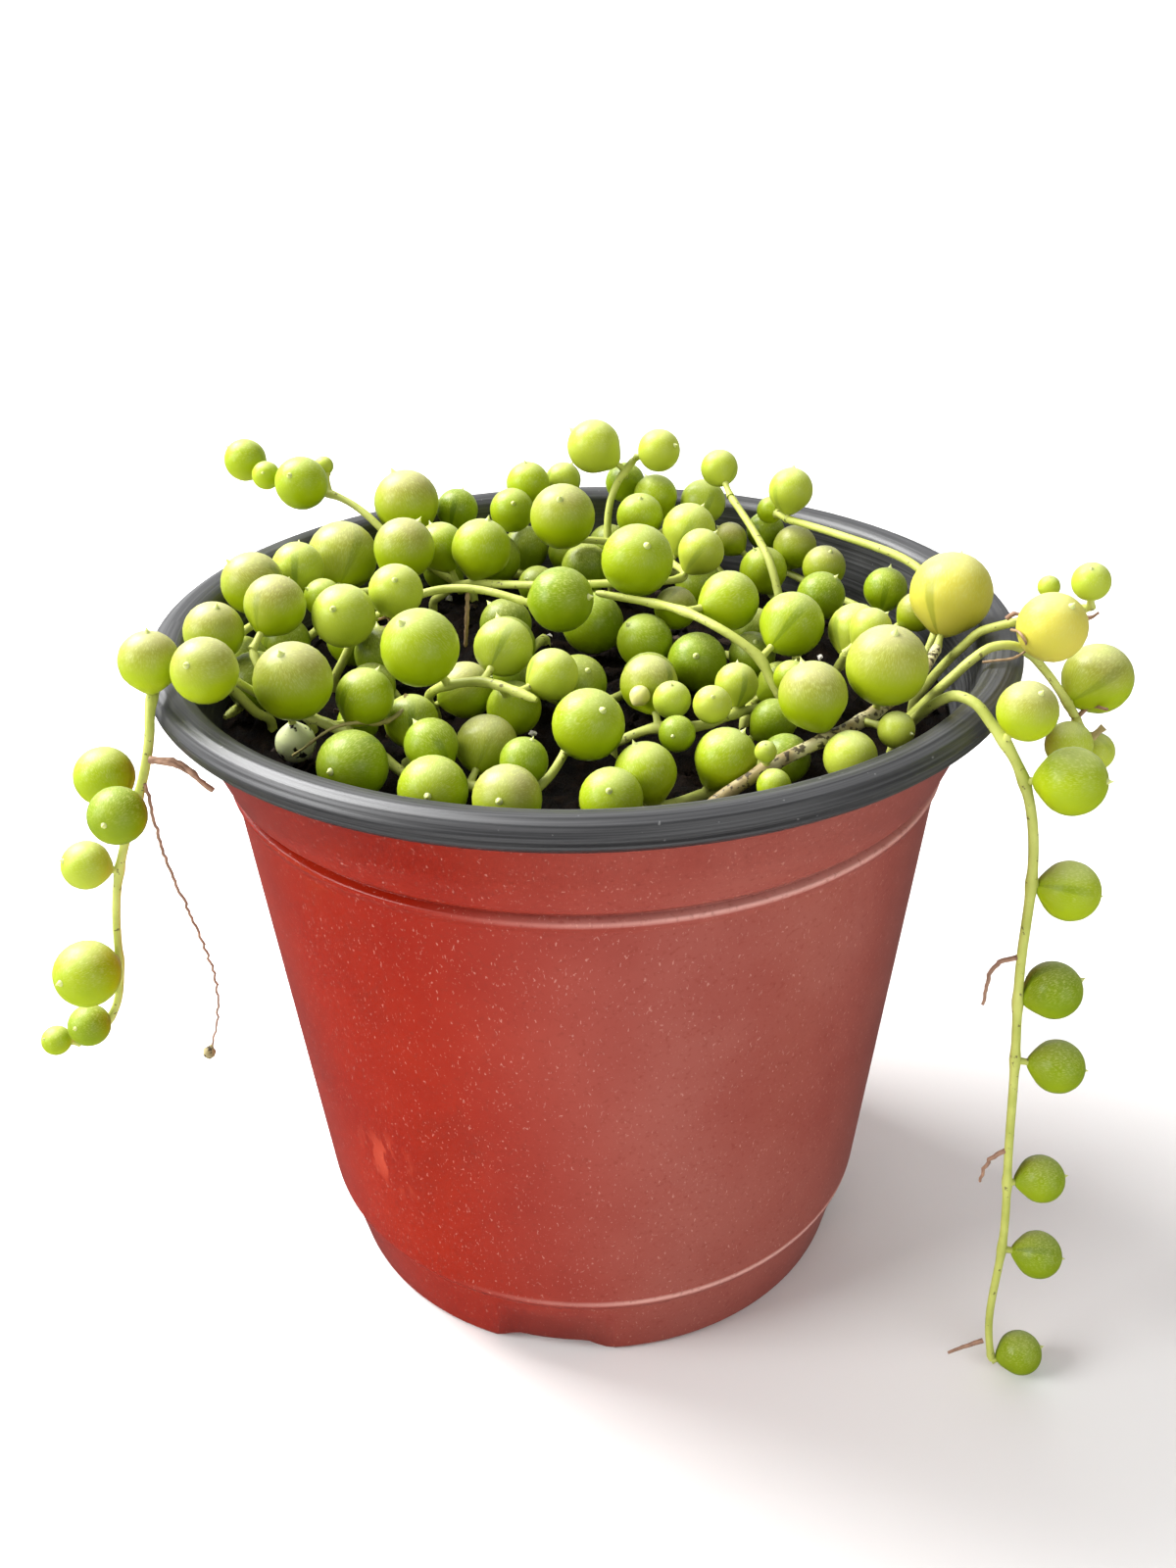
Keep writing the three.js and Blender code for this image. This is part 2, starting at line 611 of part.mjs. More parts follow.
function smoothStems(plants, homing) {
  for (const { stem, foot, route } of plants) {
    const smoothing = route ? SMOOTHING.routed : SMOOTHING.led;
    const before = stem.map((ball) => ball.at.clone());
    for (let i = 1; i < stem.length; i += 1) {
      const next = before[Math.min(stem.length - 1, i + 1)];
      const middle = before[i - 1].clone().add(next).multiplyScalar(0.5);
      if (i < stem.length - 1) stem[i].at.lerp(middle, smoothing);
      stem[i].at.lerp(stem[i].home, homing);
    }
    stem[0].at.copy(foot);
  }
}

function settle(plants) {
  const balls = allBalls(plants);
  for (let round = 0; round < SETTLE.rounds; round += 1) {
    const homing = round < SETTLE.rounds - SETTLE.lastFree ? SETTLE.homing : 0;
    for (const plant of plants) {
      plant.pearls.forEach((pearl) => pearl.at.lerp(pearl.home, homing));
    }
    smoothStems(plants, homing);
    holdStalks(plants);
    pointTips(plants);
    pushApart(balls);
    for (const { kind, ball, radius } of balls) {
      if (kind !== 'tip') {
        clearOfPot(ball, radius);
        clearOfGround(ball.at, radius);
      }
    }
  }
  pointTips(plants);
}

// ---- the plant's solids ----

function stemPath({ foot, stem }) {
  const depth = FOOT_BALL_LIFT + ROOT_DEPTH;
  const down = [depth, depth / 2].map((drop) => new THREE.Vector3(foot.x, foot.y, foot.z - drop));
  return new THREE.CatmullRomCurve3([...down, ...stem.map((ball) => ball.at)]);
}

function nearestOn(spine, point) {
  const stretch = new THREE.Line3();
  let best = spine[0];
  for (let i = 1; i < spine.length; i += 1) {
    stretch.set(spine[i - 1], spine[i]);
    const near = stretch.closestPointToPoint(point, true, new THREE.Vector3());
    if (near.distanceTo(point) < best.distanceTo(point)) best = near;
  }
  return best;
}

// A pearl is drawn round its own axis, from its stalk in the stem to its pointed tip.
function pearlSolid(node, pearl, { sides, turns }) {
  const { radius } = pearl;
  const reach = pearl.at.distanceTo(node);
  const ring = (turn) => [
    radius * Math.sin(degrees(turn)),
    reach - radius * Math.cos(degrees(turn)),
  ];
  const profile = [
    [0, -STALK.sunk],
    [STALK.radius, reach - 0.97 * radius],
    ...turns.map(ring),
    [0, reach + radius + TIP.length],
  ];
  const geometry = turned(profile, sides);
  const axis = pearl.at.clone().sub(node).normalize();
  const lean = new THREE.Quaternion().setFromUnitVectors(new THREE.Vector3(0, 0, 1), axis);
  geometry.applyQuaternion(lean);
  geometry.translate(node.x, node.y, node.z);
  return toSolid(geometry);
}

function leafyStem(plant) {
  const path = stemPath(plant);
  const { sides, facetStep } = plant.low ? LOW_STEM : STEM;
  const steps = Math.round(path.getLength() / facetStep);
  const spine = path.getSpacedPoints(steps);
  let solid = toSolid(tube(path, plant.radius, sides, steps));
  for (const pearl of plant.pearls) {
    const node = nearestOn(spine, plant.stem[pearl.node].at);
    const small = plant.low || pearl.radius < SMALL_PEARL;
    solid = solid.add(pearlSolid(node, pearl, small ? SMALL_PEARL_FACETS : PEARL_FACETS));
  }
  for (const route of plant.hairRoots ?? []) {
    const points = route.map(vector);
    points[0] = nearestOn(spine, points[0]);
    const root = new THREE.CatmullRomCurve3(points);
    const rootSteps = 2 * (points.length - 1);
    solid = solid.add(toSolid(tube(root, HAIR_ROOT.radius, HAIR_ROOT.sides, rootSteps)));
  }
  return solid;
}

// ---- the object ----

const draw = seededDraws(LOW_PEARL.seed);
const lowPlants = lowStems.map((stem) => {
  const pearls = lowPearls(stem, draw);
  const start = degrees(stem.from - Math.sign(stem.to - stem.from) * 4);
  const root = [stem.circle * Math.cos(start), stem.circle * Math.sin(start)];
  return { name: stem.name, low: true, root, pearls };
});
const plants = [...leafyStems, ...lowPlants].map(laidOut);
settle(plants);

const finishes = {
  pot: { color: 0xa8422f, roughness: 0.5, metalness: 0 },
  soil: { color: 0x1d1712, roughness: 0.95, metalness: 0 },
  fresh: { color: 0x8fae3c, roughness: 0.45, metalness: 0 },
  low: { color: 0x5f8a33, roughness: 0.45, metalness: 0 },
};

function piece(name, solid, finish) {
  const mesh = new THREE.Mesh(toGeometry(solid), new THREE.MeshStandardMaterial(finishes[finish]));
  mesh.name = name;
  return mesh;
}

const object = new THREE.Group();
object.add(piece('pot', pot(), 'pot'));
object.add(piece('soil', soil(plants), 'soil'));
for (const plant of plants) {
  const finish = plant.low ? 'low' : 'fresh';
  object.add(piece(plant.name, leafyStem(plant), finish));
}

export default object;
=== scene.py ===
import math
from functools import partial
import bmesh
import bpy
import numpy as np
from mathutils import Matrix, Vector, noise


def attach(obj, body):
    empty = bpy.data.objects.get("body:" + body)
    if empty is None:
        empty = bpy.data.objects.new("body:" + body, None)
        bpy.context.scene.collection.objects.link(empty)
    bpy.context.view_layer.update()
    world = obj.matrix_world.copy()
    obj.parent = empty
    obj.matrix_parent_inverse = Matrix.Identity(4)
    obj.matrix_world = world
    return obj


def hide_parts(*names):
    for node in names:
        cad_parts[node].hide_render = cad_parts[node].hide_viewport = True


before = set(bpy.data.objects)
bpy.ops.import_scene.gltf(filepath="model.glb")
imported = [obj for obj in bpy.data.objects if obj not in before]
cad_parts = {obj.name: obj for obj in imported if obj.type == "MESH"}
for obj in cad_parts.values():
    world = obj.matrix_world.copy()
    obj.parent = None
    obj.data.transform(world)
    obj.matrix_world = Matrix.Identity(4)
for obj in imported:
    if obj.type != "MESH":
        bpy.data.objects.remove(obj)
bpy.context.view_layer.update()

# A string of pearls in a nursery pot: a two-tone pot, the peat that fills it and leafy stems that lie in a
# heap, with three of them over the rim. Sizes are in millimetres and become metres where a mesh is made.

MM = 0.001

# ---- the room ----
# A pale matt floor, a camera held close above the pot, and daylight from all round: a white room with a
# bright window high at the left behind, one at the left in front that grazes pot and rim, a weak one at the
# right in front and a lamp that lights the wall behind.


def srgb(code):
    channels = [int(code[i:i + 2], 16) / 255 for i in (1, 3, 5)]
    return [*(c / 12.92 if c <= 0.04045 else ((c + 0.055) / 1.055) ** 2.4 for c in channels), 1.0]


def feed(node, inputs):
    """Gives a node's inputs, by name or in their order, values, sockets or other nodes' first outputs."""
    in_use = [socket for socket in node.inputs if socket.enabled]
    for key, value in inputs.items() if isinstance(inputs, dict) else enumerate(inputs):
        socket = node.inputs[key] if isinstance(key, str) else in_use[key]
        if isinstance(value, bpy.types.Node):
            value = next(output for output in value.outputs if output.enabled)
        if isinstance(value, bpy.types.NodeSocket):
            node.id_data.links.new(value, socket)
        else:
            socket.default_value = value


def add_node(tree, kind, inputs=(), **settings):
    """Unnamed inputs are in the node's order: noise's place, scale, detail; a range's value and limits."""
    family = next(name for name in ("ShaderNode", "GeometryNode", "FunctionNode", "Node")
                  if hasattr(bpy.types, name + kind))
    made = tree.nodes.new(family + kind)
    for name, value in settings.items():
        setattr(made, name, value)
    feed(made, inputs)
    return made


def new_finish(name, **sockets):
    """A material, what adds nodes to it, its shader and the place that its patterns are drawn from."""
    finish = bpy.data.materials.new(name)
    finish.use_nodes = True
    shader = finish.node_tree.nodes["Principled BSDF"]
    feed(shader, {socket.replace("_", " "): value for socket, value in sockets.items()})
    add = partial(add_node, finish.node_tree)
    return finish, add, shader, add("TexCoord").outputs["Object"]


def put(name, data):
    made = bpy.data.objects.new(name, data)
    bpy.context.collection.objects.link(made)
    return made


# Painted board: matt and even, with the faintest mottle.
floor_paint, add, shader, place = new_finish("painted_board", Roughness=0.8)
mottle = add("TexNoise", [place, 6.0, 3.0])
tint = add("Mix", [mottle, srgb("#f4f3f1"), srgb("#efeeec")], data_type="RGBA")
feed(shader, {"Base Color": tint})

# The board bends up behind into a wall, on a wide round, so no edge shows.
BEND_AT, BEND = 1.2, 0.8
sweep = [(-2.5, 0.0), (BEND_AT, 0.0)]
sweep += [(BEND_AT + BEND * math.sin(t), BEND - BEND * math.cos(t)) for t in np.linspace(0.1, 1.571, 15)]
sweep.append((BEND_AT + BEND, 3.0))
mesh = bpy.data.meshes.new("floor")
mesh.from_pydata([(x, y, z) for y, z in sweep for x in (-3, 3)], [],
                 [(i, i + 1, i + 3, i + 2) for i in range(0, 2 * len(sweep) - 2, 2)])
mesh.shade_smooth()
mesh.materials.append(floor_paint)
floor = put("floor", mesh)
floor.visible_glossy = False  # the gloss of pot and leaves shows the room instead

# The room is brightest behind the plant, less bright at the right, and dim in front and below, where the
# plant's gloss would wash out. Each row is an axis, a stretch of it, and the light at its two ends.
world = bpy.data.worlds.new("white_room")
world.use_nodes = True
add = partial(add_node, world.node_tree)
way = add("SeparateXYZ", [add("TexCoord").outputs["Generated"]])
strength = 1.0
for axis, start, end, first, last in (
        ("Y", -0.7, 0.6, 0.4, 1.0), ("Z", -0.5, 0.2, 0.15, 1.0), ("X", 0.0, 0.9, 1.0, 0.4)):
    light = add("MapRange", [way.outputs[axis], start, end, first, last], interpolation_type="SMOOTHSTEP")
    strength = add("Math", [strength, light], operation="MULTIPLY")
feed(world.node_tree.nodes["Background"], {"Color": srgb("#fbfcff"), "Strength": strength})
bpy.context.scene.world = world

for name, at, size, power, aim in (
        ("window_above", (-0.34, 0.2, 0.52), (0.36, 0.36), 8.0, (0, 0, 0.07)),
        ("window_left", (-0.55, -0.2, 0.36), (0.3, 0.3), 3.2, (0, 0, 0.07)),
        ("window_right", (0.35, -0.5, 0.22), (0.5, 0.5), 1.5, (0, 0, 0.07)),
        ("backdrop_lamp", (0, 0.85, 1.0), (1.6, 0.3), 30.0, (0, 1.9, 0.25))):
    light = bpy.data.lights.new(name, "AREA")
    light.shape = "RECTANGLE"
    light.size, light.size_y = size
    light.energy = power
    lamp = put(name, light)
    lamp.location = at
    lamp.rotation_euler = (Vector(aim) - Vector(at)).to_track_quat("-Z", "Y").to_euler()

CAMERA_AT = (0, -0.165793, 0.151503)
LOOK_DOWN, TURN, TILT = 0.494, -0.001, -0.02
lens = bpy.data.cameras.new("camera")
lens.sensor_width = 36
lens.lens = 34.883
camera = put("camera", lens)
camera.matrix_world = (Matrix.Translation(CAMERA_AT) @ Matrix.Rotation(TURN, 4, "Z")
                       @ Matrix.Rotation(math.pi / 2 - LOOK_DOWN, 4, "X") @ Matrix.Rotation(TILT, 4, "Z"))
bpy.context.scene.camera = camera
bpy.context.scene.view_settings.view_transform = "Standard"

# ---- the pot ----
# One sheet of polystyrene, terracotta outside and black inside, drawn into a mould by vacuum. Its edge is
# rolled over hot into a thick ribbed rim, black side out. The foot steps in, and four notches and four
# holes let water out of the raised base.

POT_HEIGHT = 85
RIM_RADIUS = 50
RIM_ROLL = 1.8
RIM_INNER_RADIUS = 46.2
COLLAR_TOP = (46.4, 81.4)  # radius and height
COLLAR_FOOT = (43.0, 72)
COLLAR_GROOVE = (41.7, 70)
WALL_TOP = (42.0, 68.8)
WALL_FOOT = (35.9, 11.2)
BEAD_REACH = 0.6  # of the small bead below the groove, past the wall
FOOT_RING = (35.75, 10.3)
FOOT_TOP = (35.0, 9.5)
FOOT_RADIUS = 32.9
FOOT_WIDTH = 2.2
WALL_THICKNESS = 0.9
BASE_RISE = 2.2
BASE_THICKNESS = 1
NOTCH_LENGTH, NOTCH_RAMP, NOTCH_HEIGHT, NOTCH_TURN = 16, 3.6, 2, -100
DRAIN_RADIUS, DRAIN_CIRCLE, DRILL_LENGTH = 3.5, 21, 3
POT_SIDES = 192
ROLL_START, ROLL_STEP, ROLL_STEPS = -88, 5.2, 34  # degrees round the rim's roll
RIB_DEPTH, RIBS_A_RADIAN = 0.04, 9.5  # of the fine ribs that the rolling tool leaves round the rim


def rounded(corners):
    """Corners are (radius, height, size of the round) along a profile."""
    path = []
    for i, (x, y, size) in enumerate(corners):
        here = Vector((x, y))
        if size == 0 or i in (0, len(corners) - 1):
            path.append(here)
            continue
        before = Vector(corners[i - 1][:2]) - here
        after = Vector(corners[i + 1][:2]) - here
        reach = min(size, 0.45 * before.length, 0.45 * after.length)
        start, end = here + before.normalized() * reach, here + after.normalized() * reach
        for t in (0, 0.25, 0.5, 0.75, 1):
            path.append(start * (1 - t) ** 2 + here * 2 * t * (1 - t) + end * t ** 2)
    return path


rim_middle = (RIM_RADIUS - RIM_ROLL, POT_HEIGHT - RIM_ROLL)
outside = rounded([
    (0, BASE_RISE, 0), (FOOT_RADIUS - FOOT_WIDTH - 0.6, BASE_RISE, 0.5),
    (FOOT_RADIUS - FOOT_WIDTH, 0, 0.5), (FOOT_RADIUS, 0, 0.8), (*FOOT_TOP, 0.7),
    (*FOOT_RING, 0.4), (*WALL_FOOT, 0.8), (WALL_TOP[0], WALL_TOP[1] - 0.6, 0.5),
    (WALL_TOP[0] + BEAD_REACH, WALL_TOP[1] + 0.4, 0.3), (WALL_TOP[0] + BEAD_REACH, WALL_TOP[1] + 0.9, 0.3),
    (COLLAR_GROOVE[0] - 0.1, 70.05, 0.15), (COLLAR_FOOT[0], COLLAR_FOOT[1] - 0.8, 0.6),
    (COLLAR_TOP[0] + 0.8, COLLAR_TOP[1] + 0.2, 0.2),
])
roll = []
for step in range(ROLL_STEPS):
    turn = math.radians(ROLL_START + step * ROLL_STEP)
    reach = RIM_ROLL + RIB_DEPTH * math.sin(turn * RIBS_A_RADIAN)
    roll.append(Vector((rim_middle[0] + reach * math.cos(turn), rim_middle[1] + reach * math.sin(turn))))
inside = rounded([
    (RIM_INNER_RADIUS + 0.5, POT_HEIGHT - 0.2, 0), (RIM_INNER_RADIUS - 0.3, POT_HEIGHT - 0.9, 0.6),
    *((x - WALL_THICKNESS, y, size) for (x, y), size in (
        (COLLAR_TOP, 1.0), (COLLAR_FOOT, 2.0), (COLLAR_GROOVE, 1.0), (WALL_FOOT, 1.0))),
    (FOOT_RADIUS - WALL_THICKNESS + 0.6, BASE_RISE + BASE_THICKNESS, 0.8),
    (0, BASE_RISE + BASE_THICKNESS, 0),
])


def notched(radius, height, angle):
    """The height of a point of the profile, which a notch in the foot's flat ring raises."""
    if height >= NOTCH_HEIGHT or radius <= FOOT_RADIUS - FOOT_WIDTH - 0.3:
        return height
    turn = (math.degrees(angle) - NOTCH_TURN + 45) % 90 - 45
    along = abs(math.radians(turn)) * FOOT_RADIUS
    return max(height, NOTCH_HEIGHT * min(1, max(0, (NOTCH_LENGTH / 2 - along) / NOTCH_RAMP)))


def ring(body, radius, height_at, sides):
    """A ring of points, each as high as height_at says. At no radius it is one point, a pole."""
    angles = [2 * math.pi * side / sides for side in range(sides if radius else 1)]
    return [body.verts.new((radius * math.cos(angle) * MM, radius * math.sin(angle) * MM,
                            height_at(radius, angle) * MM)) for angle in angles]


def skin_over(body, rings, black_from=1000, turned=False):
    """Faces from each ring of points to the next."""
    sides = len(rings[1])
    for i, (low, high) in enumerate(zip(rings, rings[1:])):
        for side in range(sides):
            after = (side + 1) % sides
            corners = [low[side % len(low)], low[after % len(low)], high[after % len(high)],
                       high[side % len(high)]]
            if turned:
                corners[1:] = corners[:0:-1]
            face = body.faces.new(list(dict.fromkeys(corners)))
            face.smooth = True
            face.material_index = 1 if i >= black_from else 0
    bmesh.ops.recalc_face_normals(body, faces=body.faces)


def made_object(name, body):
    mesh = bpy.data.meshes.new(name)
    body.to_mesh(mesh)
    body.free()
    return put(name, mesh)


def plain_mesh(owner):
    """The owner's mesh with its modifiers applied, in place of the one that it had."""
    bpy.context.view_layer.update()
    graph = bpy.context.evaluated_depsgraph_get()
    made = bpy.data.meshes.new_from_object(owner.evaluated_get(graph))
    owner.modifiers.clear()
    owner.data = made


shell = bmesh.new()
rings = [ring(shell, x, lambda radius, angle: notched(radius, y, angle), POT_SIDES)
         for x, y in outside + roll + inside]
skin_over(shell, rings, black_from=len(outside) - 1)
pot = made_object("pot_sheet", shell)

drills = bmesh.new()
for i in range(4):
    angle = math.radians(NOTCH_TURN + 45 + 90 * i)
    spot = Matrix.Translation((DRAIN_CIRCLE * math.cos(angle) * MM, DRAIN_CIRCLE * math.sin(angle) * MM,
                               (BASE_RISE + BASE_THICKNESS / 2) * MM))
    bmesh.ops.create_cone(drills, cap_ends=True, segments=28, radius1=DRAIN_RADIUS * MM,
                          radius2=DRAIN_RADIUS * MM, depth=DRILL_LENGTH * MM, matrix=spot)
drill = made_object("drills", drills)
cut = pot.modifiers.new("drain_holes", "BOOLEAN")
cut.object = drill
cut.solver = "EXACT"
plain_mesh(pot)
bpy.data.objects.remove(drill)

# Thermoformed polystyrene, terracotta side: satin, cloudy, and towards the right a pale film, partly dust,
# partly painted sheen.
terracotta, add, shader, place = new_finish(
    "thermoformed_polystyrene_terracotta", IOR=1.5, Specular_IOR_Level=0.3)
cloudy = add("TexNoise", [place, 38.0, 4.0, 0.6])
depth = add("MapRange", [cloudy, 0.35, 0.65])
body = add("Mix", [depth, srgb("#8c1803"), srgb("#992106")], data_type="RGBA")
across = add("SeparateXYZ", [place])
# Towards the right a pale film: partly dust, partly a painted sheen for the light reflected on that side.
dust_and_sheen_side = add("MapRange", [across, -0.02, 0.014], interpolation_type="SMOOTHSTEP")
wiped = add("MapRange", [cloudy, 0.3, 0.62, 0.34, 0.58])
dust_film_and_sheen = add("Math", [dust_and_sheen_side, wiped], operation="MULTIPLY")
# Painted highlights: pale lines along the crests of the bead and of the step above the foot, towards the
# right.
painted_crest_lines = 0.0
for height in (WALL_TOP[1] + 0.8, WALL_FOOT[1] - 0.2):
    off = add("Math", [across.outputs["Z"], height * MM], operation="SUBTRACT")
    away = add("Math", [off], operation="ABSOLUTE")
    painted_line = add("MapRange", [away, 0.0001, 0.0006, 1.3, 0.0])
    painted_crest_lines = add("Math", [painted_line, painted_crest_lines], operation="ADD")
crest_highlight_share = add("Math", [painted_crest_lines, dust_film_and_sheen], operation="MULTIPLY")
# Lint: pale fibres about 0.15 mm wide and 0.3 mm long, upright on the wall. Pits: dark, 0.3 mm across.
upright = add("Mapping", {"Vector": place, "Scale": (1, 1, 0.5)})
fibres = add("TexNoise", {"Vector": upright, "Scale": 3800.0, "Detail": 1.0, "Distortion": 0.6})
lint = add("MapRange", [fibres, 0.66, 0.76, 0.0, 0.4])
pits = add("TexNoise", [place, 1700.0, 2.0])
pitted = add("MapRange", [pits, 0.56, 0.78, 0.0, 0.45])
# The scuff: a patch 6 mm across, low on the left, where the surface is scratched pale.
patch = add("VectorMath", [place, (-0.0245, -0.029, 0.0275)], operation="DISTANCE")
near = add("MapRange", [patch, 0.0015, 0.006, 1.0, 0.0])
slant = add("Mapping", {"Vector": place, "Rotation": (0.4, 0.5, 0.2), "Scale": (1, 1, 0.35)})
scratch = add("TexNoise", [slant, 620.0, 3.0])
rubbed = add("MapRange", [scratch, 0.52, 0.6, 0.0, 0.55])
scuff = add("Math", [near, rubbed], operation="MULTIPLY")
# The film is partly dust and partly painted sheen, and the crest lines are painted highlights.
for share, colour in ((dust_film_and_sheen, "#a2695e"), (crest_highlight_share, "#eab4a8"), (lint, "#dba394"), (pitted, "#7d2a1d"),
                      (scuff, "#c44e34")):
    body = add("Mix", [share, body, srgb(colour)], data_type="RGBA")
satin = add("MapRange", [dust_film_and_sheen, 0.0, 0.6, 0.285, 0.42])
skin = add("TexNoise", [place, 900.0, 2.0])
relief = add("Bump", {"Strength": 0.12, "Distance": 0.0001, "Height": skin})
feed(shader, {"Base Color": body, "Roughness": satin, "Normal": relief})
pot.data.materials.append(terracotta)

# The sheet's black side: the same satin skin, charcoal where the hot roll has stretched it, with fine ribs
# that run round the rim and grit in them.
black, add, shader, place = new_finish("thermoformed_polystyrene_black", IOR=1.5)
parts = add("SeparateXYZ", [place])
flat = add("CombineXYZ", [parts, parts.outputs["Y"]])
out = add("VectorMath", [flat], operation="LENGTH")
turn = add("Math", [parts.outputs["Y"], parts], operation="ARCTAN2")
fade = add("Math", [turn, 0.0005], operation="MULTIPLY")
section = add("CombineXYZ", [out, parts.outputs["Z"], fade])
ribs = add("TexNoise", [section, 3200.0, 3.0])
streak = add("MapRange", [ribs, 0.4, 0.66])
tone = add("Mix", [streak, srgb("#2a2a2b"), srgb("#4a4a4b")], data_type="RGBA")
dust = add("TexNoise", [place, 1500.0, 1.0])
grit = add("MapRange", [dust, 0.76, 0.8, 0.0, 0.35])
gritty = add("Mix", [grit, tone, srgb("#9a9a98")], data_type="RGBA")
sheen = add("MapRange", [ribs, 0.3, 0.7, 0.34, 0.5])
relief = add("Bump", {"Strength": 0.2, "Distance": 0.0002, "Height": ribs})
feed(shader, {"Base Color": gritty, "Roughness": sheen, "Normal": relief})
pot.data.materials.append(black)
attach(pot, "root")
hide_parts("pot")

# ---- the soil ----
# Moist black peat, filled to 10 mm below the rim and pressed flat by hand: crumbs, bits of bark and pale
# grains of perlite lie on it, and it shows between the pearls as near-black hollows.

SOIL_EDGE_HEIGHT = 74.6
SOIL_CROWN = 1.6
SOIL_LUMP = 0.5
CLEARANCE = 0.35
CRUMB = 1.0  # how far crumbs stand out of the surface
BED_RINGS, BED_SIDES = 70, 200
FIELD_EDGE = 1.2  # kept free of chips


def inner_radius(height):
    radii, heights = zip(WALL_FOOT, COLLAR_GROOVE, COLLAR_FOOT, COLLAR_TOP)
    return np.interp(height, heights, radii) - WALL_THICKNESS


def soil_height(x, y):
    out = np.minimum(1, np.hypot(x, y) / inner_radius(SOIL_EDGE_HEIGHT))
    lumps = np.sin(0.35 * x + 1.3) * np.cos(0.31 * y - 0.4) + 0.6 * np.sin(0.22 * (x - y))
    return SOIL_EDGE_HEIGHT + SOIL_CROWN * (1 - out ** 2) + SOIL_LUMP * lumps * (1 - out ** 6)


soil_edge = inner_radius(SOIL_EDGE_HEIGHT) - CLEARANCE
soil_floor = BASE_RISE + BASE_THICKNESS + CLEARANCE


def crumbly_height(radius, angle):
    x, y = radius * math.cos(angle), radius * math.sin(angle)
    crumbs = noise.fractal(Vector((x, y, 3.7)) * 0.55, 0.6, 2.1, 4) if radius else 0
    return soil_height(x, y) + CRUMB * crumbs * min(1, (soil_edge - radius) / 2)


levels = [(soil_edge * i / BED_RINGS, crumbly_height) for i in range(BED_RINGS + 1)]
for radius, height in ((inner_radius(COLLAR_FOOT[1]) - CLEARANCE, COLLAR_FOOT[1]),
                       (inner_radius(COLLAR_GROOVE[1]) - CLEARANCE, COLLAR_GROOVE[1]),
                       (inner_radius(WALL_FOOT[1]) - CLEARANCE, WALL_FOOT[1]),
                       (FOOT_RADIUS - WALL_THICKNESS + 0.2, soil_floor), (0, soil_floor)):
    levels.append((radius, lambda radius, angle, height=height: height))
bed = bmesh.new()
skin_over(bed, [ring(bed, radius, height_at, BED_SIDES) for radius, height_at in levels], turned=True)
peat_bed = made_object("peat_bed", bed)

# Moist peat: black-brown, matt, with a damp glint on some crumbs.
peat, add, shader, place = new_finish("moist_peat", IOR=1.4, Specular_IOR_Level=0.08)
fibre = add("TexNoise", [place, 520.0, 6.0, 0.7])
grain = add("MapRange", [fibre, 0.4, 0.72])
earth = add("Mix", [grain, srgb("#080605"), srgb("#241a13")], data_type="RGBA")
damp = add("MapRange", [fibre, 0.35, 0.6, 0.5, 0.9])
relief = add("Bump", {"Strength": 0.9, "Distance": 0.0012, "Height": fibre})
feed(shader, {"Base Color": earth, "Roughness": damp, "Normal": relief})
peat_bed.data.materials.append(peat)
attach(peat_bed, "root")
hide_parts("soil")

# Perlite: glassy rock blown up by heat into white matt grains. Bark: dark brown chips.
perlite, add, shader, place = new_finish("expanded_perlite", Roughness=0.9)
foam = add("TexNoise", [place, 2500.0, 3.0])
white = add("Mix", [foam, srgb("#b9b1a2"), srgb("#ece8de")], data_type="RGBA")
feed(shader, {"Base Color": white})
bark, add, shader, place = new_finish("composted_bark", Roughness=0.85)
fibre = add("TexNoise", [place, 900.0, 5.0])
brown = add("Mix", [fibre, srgb("#100b08"), srgb("#4a3424")], data_type="RGBA")
feed(shader, {"Base Color": brown})


def node_group(name, sockets):
    """A Geometry Nodes tree with these named inputs, what adds nodes to it, and its inputs."""
    group = bpy.data.node_groups.new(name, "GeometryNodeTree")
    for label, kind in {"Geometry": "NodeSocketGeometry", **sockets}.items():
        group.interface.new_socket(label, in_out="INPUT", socket_type=kind)
    group.interface.new_socket("Geometry", in_out="OUTPUT", socket_type="NodeSocketGeometry")
    add = partial(add_node, group)
    return group, add, add("GroupInput").outputs


def run_group(owner, group, values):
    modifier = owner.modifiers.new(group.name, "NODES")
    modifier.node_group = group
    for item in group.interface.items_tree:
        if item.in_out == "INPUT" and item.name in values:
            modifier[item.identifier] = values[item.name]
    plain_mesh(owner)


# Chips scattered on the face of the peat, each a stretched and turned lump of a few faces.
scatter, add, given = node_group("scattered_chips", {
    "Density": "NodeSocketFloat", "Seed": "NodeSocketInt", "Smallest": "NodeSocketVector",
    "Largest": "NodeSocketVector", "Finish": "NodeSocketMaterial"})
spots = add("DistributePointsOnFaces", {
    "Mesh": given["Geometry"], "Density": given["Density"], "Seed": given["Seed"]})
lump = add("MeshIcoSphere", {"Radius": 1.0, "Subdivisions": 2})
at = add("InputPosition")
rough = add("TexNoise", [at, 1.3])
push = add("MapRange", [rough, 0.3, 0.7, 0.6, 1.2])
shaped = add("VectorMath", [at, push], operation="SCALE")
chipped = add("SetPosition", {"Geometry": lump, "Position": shaped})
turned = add("RandomValue", {
    0: (0, 0, 0), 1: (6.28, 6.28, 6.28), "Seed": given["Seed"]}, data_type="FLOAT_VECTOR")
sized = add("RandomValue", {
    0: given["Smallest"], 1: given["Largest"], "Seed": 7}, data_type="FLOAT_VECTOR")
laid = add("InstanceOnPoints", {
    "Points": spots, "Instance": chipped, "Rotation": turned, "Scale": sized})
real = add("RealizeInstances", {"Geometry": laid})
coated = add("SetMaterial", {"Geometry": real, "Material": given["Finish"]})
add("GroupOutput", [coated])

